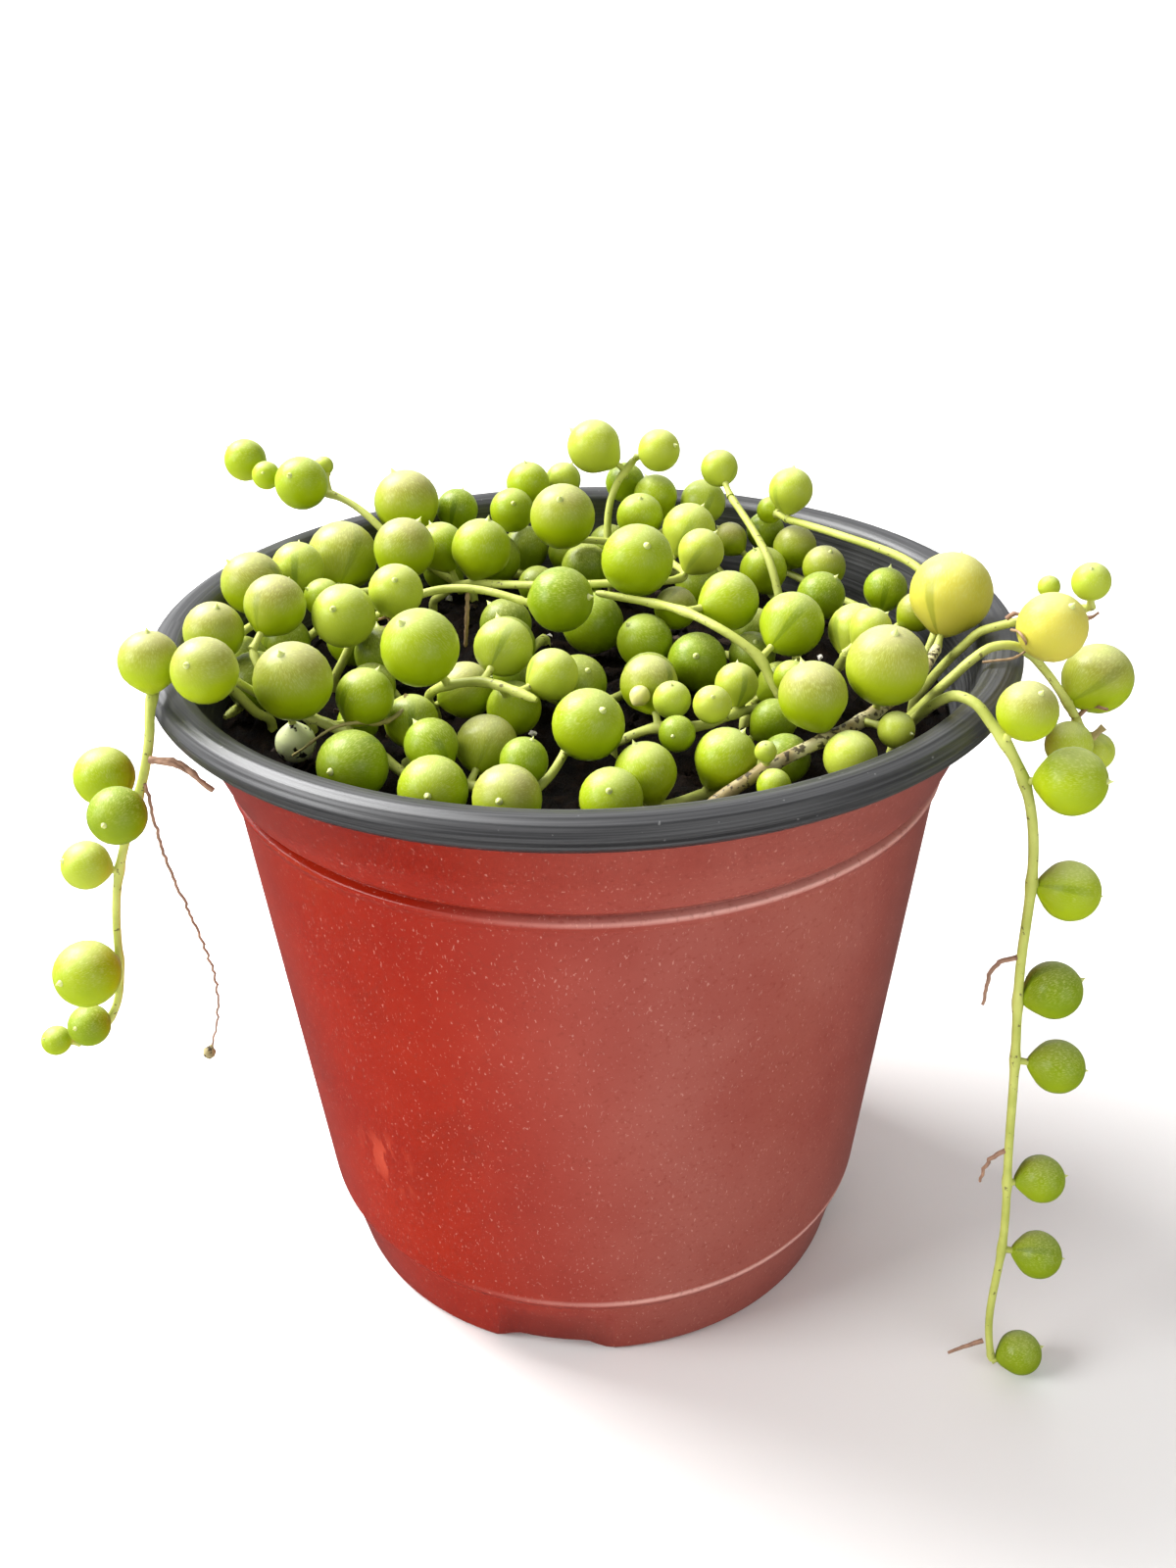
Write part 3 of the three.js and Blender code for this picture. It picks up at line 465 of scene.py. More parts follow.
for name, density, seed, smallest, largest, finish in (
        ("perlite_grains", 7000, 4, (0.3, 0.3, 0.3), (0.85, 0.7, 0.6), perlite),
        ("bark_chips", 26000, 9, (0.35, 0.2, 0.2), (1.6, 0.8, 0.5), bark),
        ("peat_crumbs", 60000, 2, (0.25, 0.25, 0.25), (0.8, 0.8, 0.7), peat)):
    field = bmesh.new()
    bmesh.ops.create_circle(field, cap_ends=True, segments=48, radius=(soil_edge - FIELD_EDGE) * MM)
    bmesh.ops.subdivide_edges(field, edges=field.edges, cuts=1)
    chips = made_object(name, field)
    run_group(chips, scatter, {
        "Density": float(density), "Seed": seed, "Smallest": Vector(smallest) * MM,
        "Largest": Vector(largest) * MM, "Finish": finish})
    co = np.empty(len(chips.data.vertices) * 3)
    chips.data.vertices.foreach_get("co", co)
    co = co.reshape(-1, 3)
    co[:, 2] += soil_height(co[:, 0] / MM, co[:, 1] / MM) * MM
    chips.data.vertices.foreach_set("co", co.ravel())
    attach(chips, "root")

# ---- how the stems lie ----
# The plant fills the pot as it does in nature: each stem runs along its route, hangs its pearls on short
# stalks and settles against the others, the soil and the rim. It is the rule, and these are the lists,
# that the plant's solids were laid out with.

STEM_RADIUS = 0.56
OLD_STEM_RADIUS = 0.7
ROOT_DEPTH = 4.5
STALK_LENGTH = 0.9
TIP_LENGTH, TIP_RADIUS = 0.65, 0.2
BALL_STEP = 2.5
SETTLE_ROOM = 0.5
FACET_ALLOWANCE = 0.3
COLLAR_REACH = 43
FOOT_BALL_LIFT = 1
SETTLE_ROUNDS, HOMING_ROUNDS, HOMING = 180, 120, 0.06
STIFF, SUPPLE = 0.05, 0.2  # how fast a stem with a route, and one without, straightens
STALK_SLACK, STALK_STRETCH = 0.6, 1.2
PEARL_PULL, STEM_PULL = 0.3, 0.5  # the shares of a stalk's strain that move its two ends
SMALLEST, LARGEST, SWAY, LIFT, LOW_SEED = 2.6, 3.5, 1.5, 0.6, 18  # of the pearls that lie low

# A pearl is x, y, z and radius. Its tone is g, m, l, o, y or p: deep green, mid green, lime, olive with a
# grey blush, yellow, or a spent leaf that has paled.
LEAFY_STEMS = {
    "left_trailing": dict(tones="omglmgm", root=(-36, -9), route=[(-41, -11, 84.4), (-44.8, -15.5, 86.8),
      (-45, -20.4, 86.6), (-43.6, -24.4, 86.6), (-44, -26.4, 84.8), (-44.8, -27.2, 81.2),
      (-46, -25.5, 77.5), (-49.2, -24.6, 71), (-51.8, -24, 64.2), (-52.9, -24, 58), (-53, -24, 51),
      (-53.4, -24.4, 48), (-54.8, -23, 45), (-57.4, -23, 43), (-59.4, -24.2, 42.6)],
      pearls=[(-44.2, -23.1, 89, 3.15), (-51.9, -21, 75.8, 3.25), (-48.2, -29.6, 75.6, 3.05),
      (-53.8, -26, 67.6, 2.65), (-55.4, -27.5, 54.6, 3.7), (-56.9, -25.4, 46, 2.4),
      (-61.1, -26, 44.4, 1.7)], hair_roots=[[(-44.8, -27, 80.6), (-41.6, -27.6, 80), (-39.2, -26.4, 77)],
      [(-46, -26, 77.4), (-45, -26.2, 67.7), (-43.2, -26, 59.5), (-42, -26, 52.3), (-42.5, -26, 46.8),
      (-44.2, -26, 41.4)]]),
    "right_trailing": dict(tones="ommggggg", root=(33, -20), route=[(34, -24, 83), (37.8, -29.5, 86.9),
      (39.8, -32, 85.8), (41.9, -33.5, 83.7), (43.6, -34, 80.6), (45.1, -34, 73.9), (45.6, -34, 65.7),
      (45.2, -34, 58.3), (46, -34.5, 48.4), (46.4, -35, 39.3), (46.7, -35, 32.2), (47.7, -35.5, 19.1),
      (46.8, -36, 10.1), (46.5, -36.5, 4.4), (47.7, -37, 1.6)], pearls=[(42.3, -35, 88, 2.95),
      (47.2, -36, 80.8, 3.4), (49.4, -34, 66.9, 3.15), (49.3, -34, 54.4, 3.1), (50.7, -35, 44.9, 2.95),
      (50.9, -35, 28.7, 2.7), (51.6, -36, 17.9, 2.75), (50.9, -37.2, 3, 2.6)],
      hair_roots=[[(45.1, -34, 58.8), (42.8, -34, 57.8), (41.9, -34, 52.7)], [(46.7, -35, 33.2),
      (44.8, -35, 31.8), (43.9, -35, 28.5)], [(46.5, -36.5, 4.4), (44.5, -36.5, 3.5), (42.5, -36.5, 2.4)]]),
    "right_short": dict(tones="yoll", root=(35, -14), route=[(38.3, -17, 82.5), (40.8, -17, 85),
      (43.6, -16.8, 86.9), (46.6, -16.3, 86.9), (51.4, -14, 82), (55, -13, 76.4)],
      pearls=[(49.6, -17.4, 89.6, 3.7), (57.4, -11, 80.2, 3.95), (52.8, -18, 75.5, 2.6),
      (57.3, -14, 72.6, 2.2)], hair_roots=[[(55, -13, 76.4), (56.2, -13.6, 78), (57.4, -15.6, 78.6)]]),
    "right_shoot": dict(tones="ll", root=(38, -7), route=[(42, -9, 84), (46.5, -11, 87.2),
      (52, -12.4, 88.4), (54.4, -14, 90)], pearls=[(53, -16, 93.2, 2.05), (49.8, -13.4, 92.6, 1.2)]),
    "back_left_sprig": dict(tones="mlmm", root=(-15, 29), route=[(-24, 28.6, 83.5), (-27.8, 30, 88),
      (-32.5, 32.4, 90.1), (-38, 35.2, 88.4), (-42, 37, 90.4)], pearls=[(-37.6, 31.6, 91.6, 3.5),
      (-34.8, 36, 93.4, 1.3), (-41.4, 33.4, 92, 1.9), (-45.6, 38, 93, 2.85)]),
    "back_twin": dict(tones="gll", root=(4, 32), route=[(3.4, 32, 83), (3, 33, 88), (5, 36.4, 91.2),
      (7.6, 37.4, 92.4)], pearls=[(6.6, 40.8, 87.6, 2.75), (1.9, 37, 94.2, 3.6), (10.6, 35, 94, 2.85)]),
    "back_right_upright": dict(tones="l", root=(25.5, 14), route=[(24.5, 17.8, 84), (22, 24, 87),
      (19.8, 28.9, 89.4)], pearls=[(18.6, 33.2, 91.9, 2.5)]),
    "far_right": dict(tones="lm", root=(38.5, -2.5), route=[(42.2, -1, 82.5), (43, 3.4, 85.6),
      (40.4, 9, 87.6), (34.6, 13.4, 88), (29.2, 21.8, 88.2)], pearls=[(27, 27.6, 89.2, 2.9),
      (24.5, 32.6, 87.6, 1.8)]),
    "back_row_left": dict(tones="ogmml", root=(-25, 21), pearls=[(-23.1, 32.7, 87.5, 4.35),
      (-17.5, 35.5, 85.5, 2.85), (-9.9, 34.5, 85, 3), (-7.4, 39.6, 88, 3), (-2.6, 43.4, 87.6, 2.5)]),
    "back_row_right": dict(tones="lmmo", root=(21, 28), pearls=[(16.1, 36, 87, 3.1), (10.8, 36.4, 87, 3),
      (7.7, 28.3, 86, 3.1), (-2.4, 23.2, 89, 4.2)]),
    "crown": dict(tones="mmmll", root=(-20, 25), pearls=[(-18.3, 23.9, 85, 3.2), (-13.1, 19.2, 86, 3.8),
      (6.6, 5.2, 89.2, 4.3), (15, 15.3, 86, 2.9), (14.1, 24.8, 86, 3.5)]),
    "left_rim": dict(tones="mooloo", root=(-27, 8), pearls=[(-32.3, 9.7, 84, 2.4), (-22.4, 17, 87, 3.85),
      (-31.2, 23, 84.3, 4.55), (-35.9, 15.4, 85, 3.3), (-39.7, 8.2, 86, 3.8), (-42.1, -7.3, 86, 3.4)]),
    "left_cluster": dict(tones="o", root=(-31, -11), route=[(-35, -13, 80.6), (-37, -12, 82.8),
      (-37, -9.4, 85)], pearls=[(-34.8, -4.5, 88.5, 3.5)]),
    "front_left": dict(tones="gmgopo", root=(-17.6, -26.4), route=[(-20.5, -24.6, 79), (-24, -22.6, 80.6),
      (-29.5, -19.2, 81.4), (-34, -17, 82), (-35.8, -18.6, 84.4), (-36.6, -22, 87.4)],
      pearls=[(-24.3, -15.4, 78.7, 2.3), (-22.6, -19.8, 84, 3.1), (-23.8, -28.4, 80.2, 3.7),
      (-30, -21.6, 86.6, 4.15), (-31.4, -18.6, 77.9, 2.2), (-38.2, -25.9, 90, 3.4)]),
    "across_left": dict(tones="llg", root=(-30, 1), route=[(-25, 3, 83.4), (-19.9, 5.1, 86.5),
      (-13.4, 5, 87), (-6.3, 1, 86)], pearls=[(-26.8, -5.7, 88, 3.65), (-22.4, 0.6, 87.4, 3.2),
      (-2.7, -0.9, 87, 3.8)]),
    "centre": dict(tones="momll", root=(-17, -9), route=[(-18.6, -14, 82), (-14.4, -16.8, 84),
      (-10, -18.8, 85.4), (-5, -22.6, 84.4)], pearls=[(-17.7, -18.8, 88.7, 4.15), (-12, -10.6, 80.6, 3.2),
      (-7.8, -15.9, 81, 3), (-8.4, -12, 85.4, 3.25), (-3.4, -18.4, 85.4, 2.8)]),
    "right_across": dict(tones="mmo", root=(23, -13), route=[(20.1, -10.6, 83.6), (13.7, -7.2, 86.6),
      (8.6, -0.6, 86.6), (1.6, 3.6, 86)], pearls=[(24.3, -3.7, 84.6, 3.7), (17.5, -0.1, 86.2, 3.5),
      (11.8, 6.1, 81.4, 2.6)]),
    "old_branch": dict(tones="mlolloy", root=(8, -38), old=True, route=[(13, -34.6, 79.6),
      (19.7, -31.4, 81.8), (26, -28.4, 82.6), (31.4, -22.6, 83), (36.4, -16, 82.6), (39.6, -9, 83.6)],
      pearls=[(18.2, -36, 81, 1.7), (17.6, -33.4, 83.4, 1.1), (22.9, -27.5, 86.6, 3.5),
      (26.1, -32, 82, 2.7), (31.4, -29, 84, 1.9), (30.6, -26, 88.2, 4.15), (42, -4.8, 88, 4.65)]),
    "young_tip": dict(tones="olgllm", root=(3, -19), pearls=[(7, -16.6, 83, 3.15), (9, -23.2, 84.4, 2),
      (9.3, -29, 82.6, 1.9), (13, -25.3, 84.8, 2), (16.2, -17.1, 83, 2.35), (21.9, -12.2, 81.6, 1.95)]),
    "right_low": dict(tones="gmogoogo", root=(26, 5), pearls=[(29.6, 11.4, 82, 3), (24.3, 22.5, 80.4, 3.1),
      (19.9, 31.6, 82.6, 2.3), (24.9, 33.6, 83.6, 2.6), (28.3, 27.6, 82, 2.9), (31.3, 20.6, 82, 2.8),
      (37.7, 11.3, 82.4, 2.7), (40.3, 5.4, 82, 2.4)]),
    "right_pair": dict(tones="ll", root=(27, -5), pearls=[(30.7, -6.6, 84, 3.1),
      (31.5, -10.6, 86.6, 2.35)]),
    "front_row_left": dict(tones="mgmoogm", root=(-19, -22), pearls=[(-18.9, -17.8, 78.8, 3),
      (-15.1, -27, 81.2, 2.8), (-15.2, -34.1, 80.6, 3.55), (-10.6, -22.8, 80.6, 3.3),
      (-8.2, -39.3, 82.2, 3.4), (-5.7, -32.2, 80.5, 2.45), (0.3, -28.2, 84.2, 3.7)]),
    "front_row_right": dict(tones="mmmgg", root=(0, -33), pearls=[(2.4, -38.1, 81.4, 3.1),
      (6.3, -32.5, 79.9, 3.15), (13.8, -29.4, 80.4, 3.2), (20.5, -27.6, 79, 2.6),
      (19.9, -19.8, 80.1, 2.5)]),
    "middle_low": dict(tones="ggg", root=(3, 13), pearls=[(1.7, 7.5, 80, 3.8), (7.6, 1, 79.6, 3.3),
      (13.4, -3.4, 79.6, 3.45)]),
}
LOW_STEMS = {
    "low_back": dict(circle=38.5, start=62, end=124, pearls=7),
    "low_left": dict(circle=38.5, start=156, end=196, pearls=4),
    "low_middle_back": dict(circle=26.5, start=50, end=110, pearls=4),
    "low_middle_left": dict(circle=26, start=166, end=202, pearls=3),
    "low_middle_right": dict(circle=22, start=-32, end=22, pearls=3),
    "low_centre": dict(circle=11, start=120, end=330, pearls=5),
}


def seeded_draws(seed):
    state = seed
    while True:
        state = (state * 1664525 + 1013904223) % 4294967296
        yield state / 4294967296


def low_pearls(stem, draw):
    places = []
    for i in range(stem["pearls"]):
        share = (i + 0.5) / stem["pearls"]
        angle = math.radians(stem["start"] + (stem["end"] - stem["start"]) * share)
        size = SMALLEST + next(draw) * (LARGEST - SMALLEST)
        out = stem["circle"] + SWAY * (2 * next(draw) - 1)
        x, y = out * math.cos(angle), out * math.sin(angle)
        places.append([x, y, soil_height(x, y) + size + LIFT, size])
    return places


def route_past(pearls):
    """Below each pearl and to one side, left and right in turn."""
    route = []
    for i, (x, y, z, radius) in enumerate(pearls):
        before, after = pearls[max(0, i - 1)], pearls[min(len(pearls) - 1, i + 1)]
        run = math.hypot(after[0] - before[0], after[1] - before[1]) or 1
        reach = 0.7 * (radius + STALK_LENGTH + STEM_RADIUS) * (1 if i % 2 == 0 else -1)
        stem_x = x - reach * (after[1] - before[1]) / run
        stem_y = y + reach * (after[0] - before[0]) / run
        kept_in = min(1, COLLAR_REACH / math.hypot(stem_x, stem_y))
        route.append([stem_x * kept_in, stem_y * kept_in, z - abs(reach)])
    return route


def along_curve(points, shares):
    """Points at these shares of the parameter of a centripetal Catmull-Rom curve."""
    points = np.asarray(points, float)
    last = len(points) - 1
    padded = np.vstack([2 * points[0] - points[1], points, 2 * points[-1] - points[-2]])
    steps = np.maximum(np.linalg.norm(np.diff(padded, axis=0), axis=1), 1e-12) ** 0.5
    at = np.clip(np.asarray(shares) * last, 0, last)
    k = np.minimum(at.astype(int), last - 1)
    w = (at - k)[:, None]
    p0, p1, p2, p3 = (padded[k + i] for i in range(4))
    d0, d1, d2 = (steps[k + i][:, None] for i in range(3))
    start = ((p1 - p0) / d0 - (p2 - p0) / (d0 + d1) + (p2 - p1) / d1) * d1
    end = ((p2 - p1) / d1 - (p3 - p1) / (d1 + d2) + (p3 - p2) / d2) * d1
    return (p1 + start * w + (3 * (p2 - p1) - 2 * start - end) * w ** 2
            + (2 * (p1 - p2) + start + end) * w ** 3)


def evenly(points, step, least):
    """Points a step apart along the curve through these points."""
    marks_on_lit_side = np.linspace(0, 1, 201)
    run = np.linalg.norm(np.diff(along_curve(points, marks_on_lit_side), axis=0), axis=1)
    length = np.concatenate([[0], np.cumsum(run)])
    count = max(least, round(length[-1] / step))
    return along_curve(points, np.interp(np.linspace(0, length[-1], count + 1), length, marks_on_lit_side))


def laid_out(plant):
    x, y = plant["root"]
    foot = [x, y, soil_height(x, y) + FOOT_BALL_LIFT]
    route = plant.get("route") or route_past(plant["pearls"])
    stem = evenly([foot, *route], BALL_STEP, 3)
    pearls = np.array(plant["pearls"], float)
    nodes = np.array([max(1, np.argmin(np.linalg.norm(stem - pearl[:3], axis=1))) for pearl in pearls])
    radius = OLD_STEM_RADIUS if plant.get("old") else STEM_RADIUS
    return {**plant, "foot": foot, "stem": stem, "radius": radius, "nodes": nodes,
            "at": pearls[:, :3].copy(), "sizes": pearls[:, 3]}


draw = seeded_draws(LOW_SEED)
plants = [laid_out({"name": name, **plant}) for name, plant in LEAFY_STEMS.items()]
for name, stem in LOW_STEMS.items():
    places = low_pearls(stem, draw)
    start = math.radians(stem["start"] - math.copysign(4, stem["end"] - stem["start"]))
    root = [stem["circle"] * math.cos(start), stem["circle"] * math.sin(start)]
    plants.append(laid_out({"name": name, "root": root, "pearls": places}))

# Every ball of every stem, then every pearl, in one table; the pearls' tips come after them.
owner = np.concatenate([np.full(len(plant[part]), k) for part in ("stem", "sizes")
                        for k, plant in enumerate(plants)])
balls = sum(len(plant["stem"]) for plant in plants)
for k, plant in enumerate(plants):
    plant["first_ball"] = np.argmax(owner == k)
    plant["first_pearl"] = balls + np.argmax(owner[balls:] == k)
node_of = np.concatenate([np.full(balls, -1), *(plant["first_ball"] + plant["nodes"] for plant in plants)])
radii = np.concatenate([*(np.full(len(plant["stem"]), plant["radius"]) for plant in plants),
                        *(plant["sizes"] for plant in plants)])
homes = np.concatenate([plant[part] for part in ("stem", "at") for plant in plants])
place = homes.copy()
pearls = np.arange(balls, len(owner))
all_owner = np.concatenate([owner, owner[pearls]])
all_radii = np.concatenate([radii, np.full(len(pearls), TIP_RADIUS)])
stem_like = np.arange(len(all_owner)) < balls
mobile = np.where(stem_like, 1.0, 0.5)
same = all_owner[:, None] == all_owner[None, :]
leaf_of = np.concatenate([np.full(balls, -1), pearls, pearls])
node_at = np.concatenate([np.arange(balls), node_of[pearls], node_of[pearls]])
same_leaf = leaf_of[:, None] == leaf_of[None, :]
beside = np.abs(node_at[:, None] - node_at[None, :]) <= 1
stems = stem_like[:, None] * 1 + stem_like[None, :]
may_touch = same & np.choose(stems, [same_leaf, beside, True])
room = np.where(may_touch, 0, all_radii[:, None] + all_radii[None, :] + SETTLE_ROOM)
np.fill_diagonal(room, 0)
kept_inside = np.hypot(homes[:, 0], homes[:, 1]) < RIM_INNER_RADIUS
wall_foot, groove, collar_foot, collar_top, rim_edge = (
    (x - WALL_THICKNESS / 2, y) for x, y in (WALL_FOOT, COLLAR_GROOVE, COLLAR_FOOT, COLLAR_TOP, rim_middle))
pot_rods = [(wall_foot, groove, 0.5), (collar_foot, collar_top, 0.6),  # ends and half the thickness
            ((rim_middle[0] - 0.6, rim_middle[1]), rim_edge, RIM_ROLL + 0.7)]


def tips_of(place):
    axis = place[pearls] - place[node_of[pearls]]
    axis /= np.linalg.norm(axis, axis=1)[:, None]
    return place[pearls] + axis * (radii[pearls] + TIP_LENGTH)[:, None]


def clear_of_pot(place):
    need = radii + SETTLE_ROOM
    out = np.maximum(np.hypot(place[:, 0], place[:, 1]), 1e-9)
    wall = inner_radius(place[:, 2])
    allowed = np.where(kept_inside, np.minimum(out, wall - FACET_ALLOWANCE - need),
                       np.maximum(out, wall + 2 * WALL_THICKNESS + need))
    below = place[:, 2] < POT_HEIGHT - RIM_ROLL
    place[:, :2] *= np.where(below, allowed / out, 1)[:, None]
    for low, high, thick in pot_rods:
        out = np.maximum(np.hypot(place[:, 0], place[:, 1]), 1e-9)
        along = np.subtract(high, low)
        share = ((out - low[0]) * along[0] + (place[:, 2] - low[1]) * along[1]) / (along @ along)
        nearest = np.clip(share, 0, 1)
        over = out - low[0] - nearest * along[0]
        up = place[:, 2] - low[1] - nearest * along[1]
        gap = np.maximum(np.hypot(over, up), 1e-9)
        short = np.maximum(0, thick + need - gap)
        place[:, :2] *= (1 + short * over / gap / out)[:, None]
        place[:, 2] += short * up / gap


def clear_of_ground(place):
    inside = np.hypot(place[:, 0], place[:, 1]) < RIM_INNER_RADIUS
    inside &= place[:, 2] > SOIL_EDGE_HEIGHT - 10
    over = soil_height(place[:, 0], place[:, 1]) + SETTLE_ROOM + FACET_ALLOWANCE
    place[:, 2] = np.maximum(place[:, 2], np.where(inside, over, 0) + radii)


for settle_round in range(SETTLE_ROUNDS):
    homing = HOMING if settle_round < HOMING_ROUNDS else 0
    place[pearls] += (homes[pearls] - place[pearls]) * homing
    for plant in plants:
        first, count = plant["first_ball"], len(plant["stem"])
        stem = place[first:first + count]
        before = stem.copy()
        smoothing = STIFF if plant.get("route") else SUPPLE
        middle = (before[:-2] + before[2:]) / 2
        stem[1:-1] += (middle - stem[1:-1]) * smoothing
        stem[1:] += (homes[first + 1:first + count] - stem[1:]) * homing
        stem[0] = plant["foot"]
    for pearl in pearls:
        node = node_of[pearl]
        length = radii[pearl] + plants[owner[pearl]]["radius"] + STALK_LENGTH
        away = place[pearl] - place[node]
        gap = math.sqrt(away @ away) or 1
        wanted = min(max(gap, length - STALK_SLACK), length + STALK_STRETCH)
        away *= (wanted - gap) / gap
        place[pearl] += away * PEARL_PULL
        place[node] -= away * STEM_PULL
    spots = np.vstack([place, tips_of(place)])
    away = spots[:, None, :] - spots[None, :, :]
    gap = np.sqrt((away ** 2).sum(axis=2))
    short = np.where((gap < room), room - gap, 0) / np.maximum(gap, 1e-9)
    short /= mobile[:, None] + mobile[None, :]
    shares = (away * short[:, :, None]).sum(axis=1) * mobile[:, None] * 0.5
    place += shares[:len(place)]
    place[pearls] += shares[len(place):]
    clear_of_pot(place)
    clear_of_ground(place)

# ---- the pearls and their stems ----
# Each string is one plant part: a stem as thick as a match, swollen where a leaf sits, short stalks, and
# leaves that are round beads of clear pulp with a pointed end. A stripe of thin clear skin, the window,
# runs down each bead from its point and lets light in.

STEM_SIDES = 10
PEARL_SEGMENTS, PEARL_RINGS = 28, 18
STEM_STEP = 0.7
NODE_SWELL, NODE_LENGTH = 0.28, 1.1  # the share of the stem's radius, where a stalk leaves it
STALK_GIRTHS = [0.55, 0.42, 0.38, 0.45, 0.75]
STALK_POINTS = (0, 0.3, 0.6, 0.85, 1)
STALK_END = 0.93  # of the pearl's radius, from its middle
TWIST, THREAD_SWAY = 1.8, 0.15
ROOT_GIRTHS, SHORT_ROOT = (0.2, 0.11), 1.5  # a short hair root is thicker, by this
POINT, DROP = 0.21, 0.14  # of a pearl's radius: its thorn and the drawn-out end at the stalk

# Skin of a succulent leaf: waxy and smooth over pulp that light goes into, with fine lines from the point,
# pale dots of pores, a clear stripe and a pale tip. Its numbers by leaf are attributes of the mesh.
leaf_skin, add, shader, place_on = new_finish(
    "succulent_leaf_skin", IOR=1.42, Specular_IOR_Level=0.32, Subsurface_Weight=0.2,
    Subsurface_Scale=0.0016, Subsurface_Radius=(0.9, 1.0, 0.2), Sheen_Weight=0.06, Sheen_Roughness=0.25,
    Sheen_Tint=srgb("#e9f0b4"))
ripe, flush, clear, fade = (add("Attribute", attribute_name=name).outputs["Fac"]
                            for name in ("tone", "blush", "clear", "pale"))
wrap = add("UVMap", uv_map="UVMap")
round_and_along = add("SeparateXYZ", [wrap])
facing = add("NewGeometry").outputs["Normal"]
upward = add("SeparateXYZ", [facing]).outputs["Z"]
deep = add("MapRange", [ripe, 0.0, 0.4])
late = add("MapRange", [ripe, 0.4, 1.0])
skin = add("Mix", [deep, srgb("#6c8404"), srgb("#9cb008")], data_type="RGBA")
# Olive blush: a grey-purple flush on the side that the light burns, the upper one, in clouds 5 mm across.
cloud = add("TexNoise", [place_on, 210.0, 3.0])
sunny = add("MapRange", [upward, -0.15, 0.9])
flushed = sunny
for factor in (cloud, flush, 1.4):
    flushed = add("Math", [flushed, factor], operation="MULTIPLY")
mottle = add("MapRange", [cloud, 0.35, 0.7, 0.0, 0.2])
# Dashes 0.2 mm apart that run from the point, and pores 0.2 mm across, kept to the upper side as painted
# light.
drawn_out = add("Mapping", {"Vector": wrap, "Scale": (170, 22, 1)})
lines = add("TexNoise", [drawn_out, 1.0, 2.0])
pores = add("TexNoise", [place_on, 2600.0, 1.0])
pore = add("MapRange", [pores, 0.6, 0.72, 0.0, 0.22])
dashes = add("MapRange", [lines, 0.5, 0.62, 0.0, 0.42])
marks = add("Math", [pore, dashes], operation="ADD")
# Painted light: the pale marks lie only on the upper side, so the underside stays darker as painted shade.
marks_on_lit_side = add("Math", [marks, sunny], operation="MULTIPLY")
# The window is a lune: a constant part of a turn wide, so it narrows to both ends.
off_middle = add("Math", [round_and_along, 0.5], operation="SUBTRACT")
off_line = add("Math", [off_middle], operation="ABSOLUTE")
stripe = add("MapRange", [off_line, 0.014, 0.03, 0.72, 0.0], interpolation_type="SMOOTHSTEP")
upper_part = add("MapRange", [round_and_along.outputs["Y"], 0.25, 0.6], interpolation_type="SMOOTHSTEP")
seen = add("Math", [stripe, clear], operation="MULTIPLY")
window_mask = add("Math", [seen, upper_part], operation="MULTIPLY")
tip = add("MapRange", [round_and_along.outputs["Y"], 0.955, 0.985])
# Painted highlight: a pale wash on the upward faces, weakest on deep green leaves. Spent leaves have faded
# all over, with black spots.
top_highlight_strength = add("MapRange", [ripe, 0.1, 0.4, 0.1, 0.34])
painted_top_highlight = add("MapRange", [upward, 0.55, 1.0, 0.0, top_highlight_strength], interpolation_type="SMOOTHSTEP")
rot = add("TexNoise", [place_on, 900.0, 2.0])
rotten = add("MapRange", [rot, 0.6, 0.64])
spent = add("MapRange", [fade, 0.4, 0.7])
spots = add("Math", [rotten, spent], operation="MULTIPLY")
# The upper-side wash here is a painted highlight, and the pale marks lie only on the upper side as painted
# light.
for share, colour, way in (
        (late, "#d2c452", "MIX"), (flushed, "#8f7a58", "MIX"), (mottle, "#b4be18", "MIX"),
        (marks_on_lit_side, "#cdd27c", "MIX"), (window_mask, "#a9bb94", "MULTIPLY"), (tip, "#cbd482", "MIX"),
        (painted_top_highlight, "#e3e6ac", "MIX"), (fade, "#e9edbe", "MIX"), (spots, "#1d150d", "MIX")):
    skin = add("Mix", [share, skin, srgb(colour)], data_type="RGBA", blend_type=way)
wax = add("MapRange", [cloud, 0.3, 0.7, 0.29, 0.4])
both = add("Math", [lines, pores], operation="ADD")
relief = add("Bump", {"Strength": 0.2, "Distance": 0.0001, "Height": both})
feed(shader, {"Base Color": skin, "Roughness": wax, "Normal": relief})

# Skin of the stems: yellow-green when young, with brown scars. Old ones cork over, cream with black specks.
# Roots that grew in air have dried to brown threads.
stem_skin, add, shader, place_on = new_finish("stem_skin_and_cork", Roughness=0.5, IOR=1.42)
shade = add("TexNoise", [place_on, 320.0, 3.0])
speck = add("TexNoise", [place_on, 1500.0, 3.0])
weathered = add("TexNoise", [place_on, 190.0])
brown = add("MapRange", [weathered, 0.45, 0.62])
corky = add("MapRange", [speck, 0.54, 0.6, 0.0, 0.9])
scars = add("MapRange", [speck, 0.65, 0.7, 0.0, 0.75])
old, dry = (add("Attribute", attribute_name=name).outputs["Fac"] for name in ("cork", "dry"))
skin = {}
for part, share, first, second in (
        ("young", shade, "#97a033", "#d3d878"), ("bark", brown, "#d3cc9c", "#948357"),
        ("scarred", scars, "young", "#4d3a22"), ("cork", corky, "bark", "#33271b"),
        ("aged", old, "scarred", "cork"), ("withered", speck, "#5f4436", "#bd9478"),
        ("dried", dry, "aged", "withered")):
    sides = [skin[side] if side in skin else srgb(side) for side in (first, second)]
    skin[part] = add("Mix", [share, *sides], data_type="RGBA")
relief = add("Bump", {"Strength": 0.4, "Distance": 0.0002, "Height": speck})
feed(shader, {"Base Color": skin["dried"], "Normal": relief})

